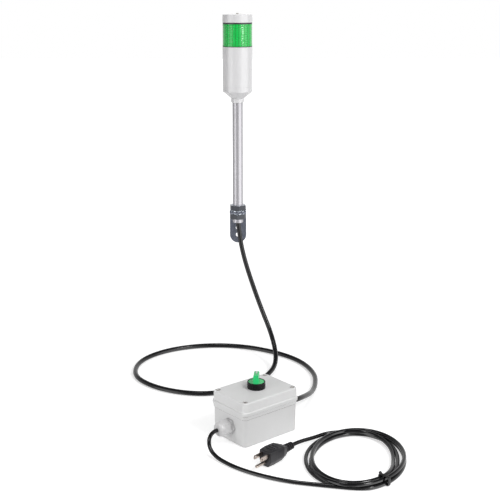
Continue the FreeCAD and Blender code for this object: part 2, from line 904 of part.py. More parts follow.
def lid_gasket():
    """Rubber ring between the base's rim and the lid's ledge."""
    outer = (rim_length - 0.4, rim_width - 0.4, rim_corner - 0.2)
    inner = (
        outer[0] - 2 * gasket_width,
        outer[1] - 2 * gasket_width,
        outer[2] - gasket_width,
    )
    ring = rounded_block(rim_top, ledge_height, outer)
    ring = ring.cut(rounded_block(rim_top - 1, ledge_height + 1, inner))
    for place in screw_places():
        ring = ring.cut(cylinder(box_boss_diameter / 2 - 0.5, rim_top - 1, ledge_height + 1, place))
    return ring


def screw_tip():
    """Height of the lower end of the lid screws."""
    return box_height - box_screw_recess - box_screw_length


def lid_screws():
    """Four slotted pan-head screws."""
    seat = box_height - box_screw_recess
    top = seat + box_screw_head_height
    radius = box_screw_head_diameter / 2
    shank = box_screw_diameter / 2
    screw = revolved(
        [
            (0, screw_tip()),
            (shank, screw_tip()),
            (shank, seat),
            (radius, seat),
            (radius, seat + 0.55 * box_screw_head_height),
            (0.75 * radius, top),
            (0, top),
        ]
    )
    slot = block(2 * radius + 1, 1.1, top - 0.9, top + 1)
    screw = screw.cut(slot)
    turns = (20, 65, -35, 50)
    return group([moved(screw, place, turn) for place, turn in zip(screw_places(), turns)])


# ---- cable glands ----
def gland_axis(side):
    """Outward direction of a gland: side -1 is the power cord's wall, side 1 the lamp cable's."""
    return Vector(side, 0, 0)


def gland_seat(side):
    """Centre of the spot face on the wall under a gland's flange."""
    length = base_section(gland_height)[0]
    return Vector(side * (length / 2 - 0.25), gland_offsets[side], gland_height)


def gland_mouth(side):
    """Centre of a gland's outer opening, in the box's frame."""
    return gland_seat(side) + gland_axis(side) * gland_reach()


def gland_reach():
    """Distance from the wall to a gland's outer opening."""
    return gland_flange_length + gland_cap_length + gland_dome_length


def gland_body():
    """Hexagonal flange, threaded stem through the wall and clamping stem under the cap."""
    stem = gland_thread_diameter / 2
    clamp_end = gland_flange_length + 0.7 * gland_cap_length
    body = chamfered_hexagon(gland_flats, 0, gland_flange_length, gland_flange_chamfer, gland_flange_turn)
    body = body.fuse(cylinder(stem, -gland_inner_length, clamp_end))
    return body.cut(cylinder(gland_bore_diameter / 2, -gland_inner_length - 1, clamp_end + 1))


def gland_cap(cord_diameter):
    """Hexagonal clamping cap that runs into a round dome, open for the cord."""
    low = gland_flange_length
    shoulder = low + gland_cap_length
    mouth = gland_reach()
    corner = gland_flats / math.sqrt(3)
    nose = gland_mouth_diameter / 2
    body = hexagon(gland_flats, low, mouth, gland_cap_turn)
    turned = revolved(
        [
            (0, low),
            (corner - 0.8, low),
            (corner, low + 0.8),
            (corner, shoulder - 1.0),
            (gland_flats / 2 + 0.2, shoulder + 0.8),
            (0.5 * (gland_flats / 2 + nose), mouth - 2.2),
            (nose, mouth),
            (0, mouth),
        ]
    )
    body = body.common(turned)
    thread = gland_thread_diameter / 2 + thread_clearance
    body = body.cut(cylinder(thread, low - 1, shoulder))
    return body.cut(cylinder(cord_diameter / 2 + thread_clearance, low - 1, mouth + 1))


def gland_seal(cord_diameter):
    """Rubber sleeve that the cap squeezes onto the cord."""
    outer = gland_bore_diameter / 2 - thread_clearance
    inner = cord_diameter / 2 + thread_clearance
    end = gland_flange_length + gland_cap_length
    return tube_ring(outer, inner, gland_flange_length - 2.0, end)


def gland_locknut():
    """Hexagonal nut inside the wall."""
    outer = -wall_under_gland()
    nut = chamfered_hexagon(gland_flats + 2, outer - gland_locknut_length, outer, 1.0, 30.0)
    bore = gland_thread_diameter / 2 + thread_clearance
    return nut.cut(cylinder(bore, outer - gland_locknut_length - 1, outer + 1))


def wall_under_gland():
    """Wall thickness between a gland's flange and its locknut."""
    inside_foot = rim_length / 2 - box_wall - base_draft
    rise = base_draft * (gland_height - box_floor) / (rim_top + 1 - box_floor)
    locknut_reach = (gland_flats + 2) / math.sqrt(3)
    lean = base_draft * locknut_reach / (rim_top + 1 - box_floor)
    return gland_seat(1).x - (inside_foot + rise) + lean


def cord_entry(cord_diameter):
    """The sheathed cord's stretch inside the gland and just inside the box."""
    return cylinder(cord_diameter / 2, -gland_inner_length - sheath_beyond_gland, gland_reach())


def gland_pieces(name, side, cord_diameter):
    """All pieces of one gland, by node name, in the box's frame."""
    pieces = {
        f"{name}_gland_body": gland_body(),
        f"{name}_gland_cap": gland_cap(cord_diameter),
        f"{name}_gland_seal": gland_seal(cord_diameter),
        f"{name}_gland_locknut": gland_locknut(),
    }
    return {node: laid(shape, gland_seat(side), gland_axis(side)) for node, shape in pieces.items()}


# ---- selector switch ----
def bezel_top():
    """Height of the bezel's upper face."""
    return box_height + bezel_seal_thickness + bezel_height


def switch_bezel():
    """Black bezel with a grooved side, its threaded barrel and the bore that guides the knob."""
    outer = bezel_diameter / 2
    seat = box_height + bezel_seal_thickness
    top = bezel_top()
    barrel = barrel_diameter / 2
    groove_base = seat + 0.52 * bezel_height
    groove_top = groove_base + bezel_groove_height
    pocket = outer - bezel_lip
    guide = knob_shaft_diameter / 2 + plunger_clearance
    return revolved(
        [
            (guide, box_height - barrel_length),
            (barrel, box_height - barrel_length),
            (barrel, seat),
            (outer - 0.4, seat),
            (outer, seat + 0.4),
            (outer, groove_base),
            (outer - bezel_groove, groove_base),
            (outer - bezel_groove, groove_top),
            (outer - 0.3, groove_top),
            (outer - 0.3, top - 1.0),
            (outer - 1.0, top),
            (pocket, top),
            (pocket, knob_seat()),
            (guide, knob_seat()),
        ],
        switch_position,
    )


def knob_seat():
    """Height of the bezel's floor under the knob's disc."""
    return bezel_top() - knob_sink - knob_disc_thickness


def bezel_seal():
    """Flat ring under the bezel."""
    inner = barrel_diameter / 2 + slip
    outer = bezel_diameter / 2 - 0.4
    return tube_ring(outer, inner, box_height, box_height + bezel_seal_thickness, switch_position)


def switch_nut():
    """Knurled ring nut under the lid."""
    low = roof_underside - switch_nut_height
    barrel = barrel_diameter / 2 + thread_clearance
    nut = tube_ring(switch_nut_diameter / 2, barrel, low, roof_underside)
    for index in range(8):
        grip = cylinder(1.5, low - 1, roof_underside + 1, Vector(switch_nut_diameter / 2 + 0.6, 0, 0))
        nut = nut.cut(moved(grip, Vector(0, 0, 0), 45 * index))
    return moved(nut, switch_position)


def lever_turn():
    """Angle of the lever in the box's frame."""
    return lever_angle - box_turn


def selector_knob():
    """Disc, raised lever and shaft, with a slanted cam face at the shaft's lower end."""
    pocket = bezel_diameter / 2 - bezel_lip
    disc = pocket - knob_gap
    base = knob_seat() + 0.1
    disc_top = bezel_top() - knob_sink
    lever_top = disc_top + lever_height
    knob = cylinder(disc, base, disc_top)
    outline = [
        Vector(-disc, -lever_width / 2, disc_top - 1),
        Vector(disc, -lever_width / 2, disc_top - 1),
        Vector(disc, -lever_width / 2, lever_top),
        Vector(lever_setback - disc, -lever_width / 2, lever_top),
    ]
    lever = Part.Face(Part.makePolygon(outline + outline[:1])).extrude(Vector(0, lever_width, 0))
    lever = lever.common(cylinder(disc, disc_top - 1, lever_top))
    side_top = [
        edge
        for edge in lever.Edges
        if edge.BoundBox.ZMin > lever_top - 0.01 and edge.BoundBox.XLength > lever_width
    ]
    lever = lever.makeFillet(lever_edge, side_top)
    knob = knob.fuse(lever)
    mark_start = disc - marker_length / 2 + 1
    slot = block(
        marker_length + 2, marker_width, lever_top - marker_depth, lever_top + 1, Vector(mark_start, 0, 0)
    )
    knob = knob.cut(slot)
    shaft = cylinder(knob_shaft_diameter / 2, contact_top(), base).cut(cam_cutter())
    return moved(knob.fuse(shaft), switch_position, lever_turn())


def cam_middle():
    """Height of the slanted cam face on the shaft's axis, with the shaft just clear of the block."""
    return contact_top() + knob_shaft_diameter / 2 * cam_rise + knob_gap


def cam_cutter():
    """Half space under the slanted cam face, which is highest 45 degrees past the plunger."""
    reach = 2 * knob_shaft_diameter
    cutter = block(2 * reach, 2 * reach, -reach, 0)
    cutter.rotate(Vector(0, 0, 0), Vector(0, 1, 0), -math.degrees(math.atan(cam_rise)))
    return moved(cutter, Vector(0, 0, cam_middle()), follower_angle() + 45)


def follower_angle():
    """Angle of the plunger about the shaft, measured from the lever at rest."""
    return 90.0 - lever_turn()


def knob_marker():
    """White pointer let into the lever's far end."""
    disc = bezel_diameter / 2 - bezel_lip - knob_gap
    lever_top = bezel_top() - knob_sink + lever_height
    centre = Vector(disc - marker_length / 2 + thread_clearance, 0, 0)
    bar = block(marker_length, marker_width - 0.04, lever_top - marker_depth, lever_top, centre)
    bar = bar.common(cylinder(disc, lever_top - marker_depth - 1, lever_top + 1))
    return moved(bar, switch_position, lever_turn())


def follower_place():
    """Centre of the plunger, in the box's frame."""
    return switch_position + Vector(0, cam_radius, 0)


def plunger_tip():
    """Height of the plunger's tip at rest, just under the cam."""
    face = cam_middle() + plunger_travel / 2
    return face - plunger_diameter / 2 * cam_rise - follower_gap


def contact_top():
    """Height of the contact block's upper face, against the barrel."""
    return box_height - barrel_length


def plunger():
    """Round plunger with a domed tip."""
    radius = plunger_diameter / 2
    tip = plunger_tip()
    stem = cylinder(radius, tip - plunger_length, tip, follower_place())
    rim = [edge for edge in stem.Edges if edge.BoundBox.ZMin > tip - 0.01]
    return stem.makeFillet(0.8 * radius, rim)


def spring_base():
    """Height of the floor of the plunger's well."""
    return contact_top() - contact_size[2] + 4.0


def plunger_spring():
    """Return spring under the plunger, as a plain stack of coils."""
    top = plunger_tip() - plunger_length
    base = spring_base()
    radius = spring_coil_diameter / 2
    turns = 6
    pitch = (top - base) / turns
    outline = [(radius - 0.6, base)]
    for index in range(turns):
        low = base + pitch * index
        outline.append((radius - 0.35, low))
        outline.append((radius, low + pitch / 2))
    outline.append((radius - 0.35, top))
    outline.append((radius - 0.6, top))
    return revolved(outline, follower_place())


def contact_block():
    """Contact housing on the barrel's end, with the plunger's well and terminal pockets."""
    length, width, height = contact_size
    top = contact_top()
    body = block(length, width, top - height, top, switch_position)
    body = body.makeChamfer(1.0, [edge for edge in body.Edges if is_upright(edge)])
    well = cylinder(plunger_diameter / 2 + plunger_clearance, spring_base(), top + 1, follower_place())
    body = body.cut(well)
    for place in contact_screw_places():
        body = body.cut(moved(contact_screw_pocket(), place[0], place[1]))
    return body


def contact_screw_places():
    """Position and turn of each terminal screw on the contact block's two ends."""
    length, width, height = contact_size
    middle = contact_top() - 0.55 * height
    places = []
    for turn in (0, 180):
        for side in (-1, 1):
            outward = 1 if turn == 0 else -1
            point = switch_position + Vector(outward * length / 2, side * width / 4, middle)
            places.append((point, turn))
    return places


def contact_screw_pocket():
    """Pocket of one terminal screw, cut inwards from the block's end."""
    return Part.makeCylinder(2.4, 6.0, Vector(-5.0, 0, 0), Vector(1, 0, 0))


def contact_screws():
    """Slotted terminal screws of the contact block."""
    screws = []
    for point, turn in contact_screw_places():
        screw = Part.makeCylinder(2.3, 4.0, Vector(-5.0, 0, 0), Vector(1, 0, 0))
        slot = Part.makeBox(1.0, 6.0, 0.7, Vector(-1.8, -3.0, -0.35))
        screws.append(moved(screw.cut(slot), point, turn))
    return group(screws)


# ---- terminal strip and inner wires ----
def strip_pitch():
    """Distance between the strip's ways."""
    return strip_size[0] / strip_ways


def strip_places():
    """Centres of the strip's ways."""
    first = strip_position.x - strip_size[0] / 2 + strip_pitch() / 2
    return [Vector(first + strip_pitch() * way, strip_position.y, 0) for way in range(strip_ways)]


def terminal_strip():
    """Moulded strip on the box's floor, with a well for each screw and a mouth for each wire."""
    length, width, height = strip_size
    top = box_floor + height
    body = block(length, width, box_floor, top - 4.0, strip_position)
    body = body.fuse(block(length, 0.6 * width, box_floor, top, strip_position))
    for place in strip_places():
        body = body.cut(cylinder(terminal_screw_diameter / 2 + slip, top - 6.0, top + 1, place))
        for side in (-1, 1):
            mouth = Vector(place.x, place.y + side * width / 2, 0)
            low = box_floor + strip_mouth_height - 1.6
            body = body.cut(block(3.2, 5.0, low, low + 3.2, mouth))
    return body


def terminal_screws():
    """Slotted screws of the strip."""
    top = box_floor + strip_size[2]
    screws = []
    for index, place in enumerate(strip_places()):
        screw = cylinder(terminal_screw_diameter / 2, top - 6.0, top - 1.5)
        slot = block(terminal_screw_diameter + 1, 0.8, top - 2.4, top)
        screws.append(moved(screw.cut(slot), place, 25 * index))
    return group(screws)


def wire_starts(side):
    """Ends of a cord's three cores at its cut sheath, and the direction in which they go on."""
    start = gland_seat(side) - gland_axis(side) * (gland_inner_length + sheath_beyond_gland)
    spread = core_diameter + slip
    return [start + Vector(0, index * spread, 0) for index in (-1, 0, 1)], gland_axis(side) * -1


def strip_wire(start, inward, way):
    """A core from a cord's end down to one way of the strip, entering from the strip's back."""
    level = box_floor + strip_mouth_height
    back = way + Vector(0, strip_size[1] / 2 - 2.0, level)
    above = back + Vector(0, 6.5, 0.6)
    knee = start + inward * 4.0
    middle = knee * 0.45 + above * 0.55 + Vector(0, 1.0, -3.0)
    return tube([start, knee, middle, above, back], core_diameter)


def switch_wire(start, inward):
    """A core from a cord's end to the near end face of the contact block."""
    face = switch_position - inward * (contact_size[0] / 2)
    end = Vector(face.x, switch_position.y, contact_top() - 0.8 * contact_size[2])
    return tube([start, start + inward * 4.0, end - inward * 6.0, end], core_diameter)


def inner_wires():
    """Cores of both cords to the strip and the contact block, in the box's frame."""
    ways = strip_places()
    wires = []
    for side, first, second in ((-1, 0, 1), (1, 3, 2)):
        starts, inward = wire_starts(side)
        wires.append(strip_wire(starts[0], inward, ways[first]))
        wires.append(strip_wire(starts[1], inward, ways[second]))
        wires.append(switch_wire(starts[2], inward))
    return group(wires)


# ---- cords ----
def on_floor(x, y, lift):
    """A route point a height above the surface that the box stands on."""
    return Vector(x, y, floor_height + lift)


def in_row(point):
    """A point of the box's frame in the part's frame."""
    return Placement(box_centre, Rotation(UP, box_turn)).multVec(point)


def lamp_cable():
    """Cable from the pole's end down to the surface, round its open loop and up to the far gland."""
    mouth = in_row(gland_mouth(1))
    outward = Rotation(UP, box_turn).multVec(gland_axis(1))
    route = [
        Vector(pole_centre.x, pole_centre.y, pole_end),
        pole_centre + Vector(0, 0, pole_end - 22.0),
        on_floor(6.5, -23.5, 203.0),
        on_floor(21.0, -34.0, 158.0),
        on_floor(43.5, -53.0, 100.0),
        on_floor(69.5, -82.0, 44.0),
        on_floor(77.5, -136.0, 12.0),
        on_floor(58.0, -190.0, 4.5),
        on_floor(19.0, -239.0, 4.5),
        on_floor(-44.0, -270.0, 4.5),
        on_floor(-104.0, -262.0, 4.5),
        on_floor(-156.0, -232.0, 4.5),
        on_floor(-194.0, -180.0, 4.5),
        on_floor(-192.0, -104.0, 4.5),
        on_floor(-146.0, -45.0, 4.5),
        on_floor(-72.0, -14.0, 4.5),
        on_floor(6.0, -19.0, 4.5),
        on_floor(72.0, -53.0, 4.5),
        on_floor(122.0, -103.0, 4.5),
        on_floor(148.0, -170.0, 5.0),
        on_floor(141.0, -240.0, 8.0),
        on_floor(130.0, -287.0, 13.5),
        on_floor(123.0, -322.0, 20.5),
        mouth + outward * 24.0,
        mouth,
    ]
    return tube(route, lamp_cable_diameter, "lamp_cable")


def power_cord_lead():
    """Cord from the near gland down to the surface and along to the coil."""
    mouth = in_row(gland_mouth(-1))
    outward = Rotation(UP, box_turn).multVec(gland_axis(-1))
    route = [
        mouth,
        mouth + outward * 13.0,
        on_floor(-46.3, -492.3, 21.5),
        on_floor(-44.5, -505.5, 11.5),
        on_floor(-35.0, -519.0, 5.0),
        on_floor(-19.0, -533.0, 3.25),
        on_floor(3.0, -552.0, 3.25),
        on_floor(36.0, -575.0, 3.25),
        on_floor(80.0, -596.0, 3.25),
        on_floor(127.5, -606.5, 3.25),
        on_floor(160.0, -606.0, 3.8),
    ]
    return tube(route, power_cord_diameter, "power_cord_lead")


def power_cord_coil():
    """Outer shape of the coiled cord: an oval band of the bundle's width and height."""
    low = floor_height + tie_gauge + tie_gap
    high = low + coil_height
    rings = []
    for inset in (0.0, coil_band):
        oval = Part.Ellipse(Vector(0, 0, low), coil_half_length - inset, coil_half_width - inset)
        rings.append(Part.Face(Part.Wire(oval.toShape())).extrude(Vector(0, 0, high - low)))
    band = rings[0].cut(rings[1])
    rims = [edge for edge in band.Edges if edge.BoundBox.ZLength < 0.01]
    band = band.makeChamfer(coil_edge, rims)
    return moved(band, coil_centre, coil_turn)


def power_cord_tail():
    """Cord from the coil to the plug's strain relief."""
    axis = plug_direction()
    end = plug_face + Vector(0, 0, plug_axis_height) - axis * (plug_body_length + relief_length)
    route = [
        on_floor(172.5, -430.0, 7.0),
        on_floor(148.5, -435.5, 6.5),
        on_floor(126.5, -452.5, 6.5),
        end - axis * 16.0,
        end,
    ]
    return tube(route, power_cord_diameter, "power_cord_tail")


def twist_tie():
    """Wire tie round the coil's band, with its twisted ends on the inner side."""
    angle = math.radians(tie_angle)
    inner_length = coil_band + 2 * tie_gap
    loop = Part.makeBox(
        inner_length + 2 * tie_gauge,
        tie_width,
        coil_height + 2 * tie_gap + 2 * tie_gauge,
        Vector(-inner_length / 2 - tie_gauge, -tie_width / 2, -tie_gauge),
    )
    opening = Part.makeBox(
        inner_length,
        tie_width + 2,
        coil_height + 2 * tie_gap,
        Vector(-inner_length / 2, -tie_width / 2 - 1, 0),
    )
    loop = loop.cut(opening)
    twist_root = Vector(-inner_length / 2 - tie_gauge / 2, 0, 0.6 * coil_height)
    loop = loop.fuse(Part.makeCylinder(1.2, 10.0, twist_root, Vector(-0.8, 0, 0.6)))
    point = Vector(
        (coil_half_length - coil_band / 2) * math.cos(angle),
        (coil_half_width - coil_band / 2) * math.sin(angle),
        0,
    )
    normal = math.degrees(math.atan2(point.y * (coil_half_length / coil_half_width) ** 2, point.x))
    local = moved(loop, point, normal)
    low = Vector(0, 0, floor_height + tie_gauge)
    return moved(local, coil_centre + low, coil_turn)


# ---- plug ----
def plug_direction():
    """Direction in which the prongs point."""
    angle = math.radians(plug_heading)
    return Vector(math.cos(angle), math.sin(angle), 0)


def plug_place(shape):
    """Place a shape built with the plug's face at the origin and its prongs along +X."""
    return moved(shape, plug_face, plug_heading)


def plug_section(offset, width, top, keel):
    """Closed outline across the plug: wide over the blades, narrow under the ground pin."""
    half = width / 2
    waist = 0.36 * top
    bevel = 3.0
    outline = [
        (-keel / 2, 0),
        (keel / 2, 0),
        (half, waist),
        (half, top - bevel),
        (half - bevel, top),
        (-half + bevel, top),
        (-half, top - bevel),
        (-half, waist),
    ]
    points = [Vector(offset, across, height) for across, height in outline]
    return Part.makePolygon(points + points[:1])


def plug_body():
    """Moulded plug body that narrows to a ribbed strain relief, with grip grooves on top."""
    rear_top = plug_axis_height + 0.5 * plug_rear_width
    shoulder = -plug_shoulder * plug_body_length
    sections = [
        plug_section(0, plug_face_width - 2.0, plug_top_height - 0.6, plug_keel_width),
        plug_section(0.4 * shoulder, plug_face_width, plug_top_height, plug_keel_width + 2.0),
        plug_section(shoulder, plug_face_width - 1.0, plug_top_height - 1.0, plug_keel_width),
        plug_section(-plug_body_length, plug_rear_width, rear_top, plug_keel_width - 3.0),
    ]
    body = Part.makeLoft(sections, True, True)
    pitch = -0.6 * shoulder / grip_grooves
    for index in range(grip_grooves):
        groove = block(grip_width, 0.5 * plug_face_width, plug_top_height - grip_depth, plug_top_height + 1)
        groove.translate(Vector(0.3 * shoulder - pitch * index, 0, 0))
        body = body.cut(groove)
    body = body.fuse(strain_relief())
    for prong in prong_roots():
        body = body.cut(prong)
    return plug_place(body)


def strain_relief():
    """Tapered sleeve with raised ribs."""
    root = relief_root_diameter / 2
    tip = relief_end_diameter / 2
    groove = 1.3
    pitch = relief_length / relief_ribs
    outline = [(0, -1.0)]
    for rib in range(relief_ribs):
        radius = root + (tip - root) * rib / (relief_ribs - 1)
        low = pitch * rib
        outline.append((radius - groove, low - 1.0 if rib == 0 else low))
        outline.append((radius - groove, low + 0.4 * pitch))
        outline.append((radius, low + 0.4 * pitch))
        outline.append((radius, low + pitch))
    outline.append((0, relief_length))
    start = Vector(-plug_body_length, 0, plug_axis_height)
    return laid(revolved(outline), start, Vector(-1, 0, 0))


def blade(side):
    """One flat blade with its hole, from its root inside the plug."""
    across = side * blade_spacing / 2
    length = prong_root + blade_length
    corner = Vector(-prong_root, across - blade_thickness / 2, plug_blade_height - blade_width / 2)
    plate = Part.makeBox(length, blade_thickness, blade_width, corner)
    tip_edges = [
        edge
        for edge in plate.Edges
        if edge.BoundBox.XMin > blade_length - 0.01 and edge.BoundBox.ZLength < 0.01
    ]
    plate = plate.makeChamfer(1.0, tip_edges)
    hole_start = Vector(blade_length - blade_hole_setback, across - blade_thickness, plug_blade_height)
    hole = Part.makeCylinder(blade_hole_diameter / 2, 2 * blade_thickness, hole_start, Vector(0, 1, 0))
    return plate.cut(hole)


def pin():
    """Round ground pin with a rounded tip."""
    length = prong_root + pin_length
    bar = Part.makeCylinder(pin_diameter / 2, length)
    tip = [edge for edge in bar.Edges if edge.BoundBox.ZMin > length - 0.01]
    bar = bar.makeFillet(0.42 * pin_diameter, tip)
    start = Vector(-prong_root, 0, plug_blade_height - pin_drop)
    return laid(bar, start, Vector(1, 0, 0))


def prong_roots():
    """The prongs' shapes, for the sockets that they leave in the moulding."""
    return [blade(-1), blade(1), pin()]


# ---- the whole part ----
def tower_nodes():
    """Every piece of the tower, by node name."""
    return {
        "bracket": bracket(),
        "pole": pole(),
        "upper_nut": pole_nut(upper_nut_base, upper_nut_turn),
        "lower_nut": pole_nut(lower_nut_base, lower_nut_turn),
        "upper_tooth_washer": tooth_washer(bracket_leg_height, upper_washer_turn),
        "lower_tooth_washer": tooth_washer(lower_washer_base, lower_washer_turn),
        "pole_grommet": pole_grommet(),
        "pole_cable": pole_cable(),
        "pole_base": pole_base(),
        "pole_set_screw": pole_set_screw(),
        "body_housing": body_housing(),
        "lower_seal": lower_seal(),
        "lens": lens(),
        "upper_seal": upper_seal(),
        "top_cap": top_cap(),
        "cap_screw": cap_screw(),
        "tie_rod": tie_rod(),
        "led_column": led_column(),
        "led_boards": led_boards(),
        "led_chips": led_chips(),
        "driver_board": driver_board(),
        "driver_capacitors": driver_capacitors(),
        "driver_choke": driver_choke(),
        "driver_terminal": driver_terminal(),
        "lamp_cores": lamp_cores(),
    }


def box_nodes():
    """Every piece of the switch box in the box's frame, by node name."""
    nodes = {
        "box_base": box_base(),
        "box_lid": box_lid(),
        "lid_gasket": lid_gasket(),
        "lid_screws": lid_screws(),
        "switch_bezel": switch_bezel(),
        "bezel_seal": bezel_seal(),
        "switch_nut": switch_nut(),
        "selector_knob": selector_knob(),
        "knob_marker": knob_marker(),
        "contact_block": contact_block(),
        "contact_screws": contact_screws(),
        "plunger": plunger(),
        "plunger_spring": plunger_spring(),
        "terminal_strip": terminal_strip(),
        "terminal_screws": terminal_screws(),
        "inner_wires": inner_wires(),
    }
    for name, side, diameter in (("power", -1, power_cord_diameter), ("lamp", 1, lamp_cable_diameter)):
        nodes.update(gland_pieces(name, side, diameter))
        entry = laid(cord_entry(diameter), gland_seat(side), gland_axis(side))
        nodes[f"{name}_cord_entry"] = entry
    return nodes


def cord_nodes():
    """The free cords, the coil's tie and the plug, by node name."""
    return {
        "lamp_cable": lamp_cable(),
        "power_cord_lead": power_cord_lead(),
        "power_cord_coil": power_cord_coil(),
        "power_cord_tail": power_cord_tail(),
        "twist_tie": twist_tie(),
        "plug_body": plug_body(),
        "flat_blades": group([plug_place(blade(-1)), plug_place(blade(1))]),
        "ground_pin": plug_place(pin()),
    }


def main():
    """Build every node and write its file."""
    os.makedirs("parts", exist_ok=True)
    for node, shape in tower_nodes().items():
        write(node, shape)
    for node, shape in box_nodes().items():
        write_in_box(node, shape)
    for node, shape in cord_nodes().items():
        write(node, shape)


main()
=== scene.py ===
"""Looks of a stack light with its switch box, lamp cable and mains cord.

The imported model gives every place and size. Lengths are in metres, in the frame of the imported
model: Z points up, the bracket's wall side faces +Y, and the floor lies under the switch box.
"""

import logging
import math
from collections.abc import Callable, Iterable, Mapping
from dataclasses import dataclass, field
from enum import Enum
from functools import cache

import bmesh
import bpy
import numpy as np
from mathutils import Matrix, Vector


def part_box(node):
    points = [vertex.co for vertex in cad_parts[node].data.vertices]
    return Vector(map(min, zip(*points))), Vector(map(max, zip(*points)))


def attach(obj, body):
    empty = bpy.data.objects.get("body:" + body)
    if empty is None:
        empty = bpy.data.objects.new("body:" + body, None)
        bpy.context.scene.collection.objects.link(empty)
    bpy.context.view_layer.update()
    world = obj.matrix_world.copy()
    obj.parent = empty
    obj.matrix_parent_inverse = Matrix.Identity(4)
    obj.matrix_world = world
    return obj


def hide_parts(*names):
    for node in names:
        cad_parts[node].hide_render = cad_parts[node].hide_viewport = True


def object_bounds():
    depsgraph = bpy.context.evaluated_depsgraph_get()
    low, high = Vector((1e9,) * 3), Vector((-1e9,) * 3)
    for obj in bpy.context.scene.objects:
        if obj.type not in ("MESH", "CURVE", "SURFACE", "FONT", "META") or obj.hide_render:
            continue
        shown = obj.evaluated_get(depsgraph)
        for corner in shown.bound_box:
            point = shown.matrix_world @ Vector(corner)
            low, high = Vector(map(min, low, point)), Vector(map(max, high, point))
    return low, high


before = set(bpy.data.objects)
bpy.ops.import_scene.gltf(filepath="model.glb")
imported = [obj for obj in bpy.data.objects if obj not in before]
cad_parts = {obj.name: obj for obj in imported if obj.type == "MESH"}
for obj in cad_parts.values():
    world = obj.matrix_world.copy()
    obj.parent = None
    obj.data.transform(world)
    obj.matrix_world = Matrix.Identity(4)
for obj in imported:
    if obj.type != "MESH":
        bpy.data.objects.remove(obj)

LOG = logging.getLogger("stack_light")
MM = 0.001
FULL_TURN = 2 * math.pi
CAD_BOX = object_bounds()
FLOOR = CAD_BOX[0].z
UP = Vector((0, 0, 1))

Colour = tuple[float, float, float]
Point = tuple[float, float, float]
Node = bpy.types.ShaderNode
Socket = bpy.types.NodeSocket
Tree = bpy.types.NodeTree
Piece = bpy.types.Object
Surface = tuple[np.ndarray, np.ndarray]
Shape = Callable[[np.ndarray, np.ndarray], np.ndarray]


class Body(Enum):
    """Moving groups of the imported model."""

    STILL = "tower_and_box"
    SELECTOR = "selector"


class Slot(Enum):
    """Material slots of the record."""

    WHITE_PLASTIC = "white_plastic"
    GREEN_LENS = "green_lens"
    BLACK_RUBBER = "black_rubber"
    BLACK_PLASTIC = "black_plastic"
    POLE_ALUMINIUM = "pole_aluminium"
    PLATED_STEEL = "plated_steel"
    GLAND_NYLON = "gland_nylon"
    KNOB_GREEN = "knob_green"
    MARKER_WHITE = "marker_white"
    CABLE_BLACK = "cable_black"


# ---- Finishes ----
def add_node(tree: Tree, kind: str, inputs: Mapping | None = None, **settings: object) -> Node:
    """Add a shader node.

    Args:
        tree: Node tree that it goes into.
        kind: Node type, without its ShaderNode prefix.
        inputs: What each input takes, a socket or a constant, by the input's name or number.
        settings: Attributes of the node.

    Returns:
        The new node.
    """
    made = tree.nodes.new("ShaderNode" + kind)
    for attribute, value in settings.items():
        setattr(made, attribute, value)
    for key, value in (inputs or {}).items():
        if isinstance(value, Socket):
            tree.links.new(value, made.inputs[key])
        else:
            made.inputs[key].default_value = value
    return made


def colour_ramp(tree: Tree, value: Socket, stops: list[tuple[float, Iterable[float]]]) -> Socket:
    """Carry a value of 0 to 1 to a colour.

    Args:
        tree: Node tree that the ramp goes into.
        value: The value.
        stops: (place on the ramp, colour) in rising order.

    Returns:
        The colour socket.
    """
    ramp = add_node(tree, "ValToRGB", {"Fac": value})
    points = ramp.color_ramp.elements
    for place, _ in stops[2:]:
        points.new(place)
    for point, (place, colour) in zip(points, stops):
        point.position = place
        point.color = (*colour, 1.0)
    return ramp.outputs["Color"]


def seen_rays(tree: Tree) -> Socket:
    """1 for rays from the camera, also through clear plastic, and 0 for the others."""
    path = add_node(tree, "LightPath").outputs
    rays = {0: path["Is Camera Ray"], 1: path["Is Transmission Ray"]}
    return add_node(tree, "Math", rays, operation="MAXIMUM").outputs[0]


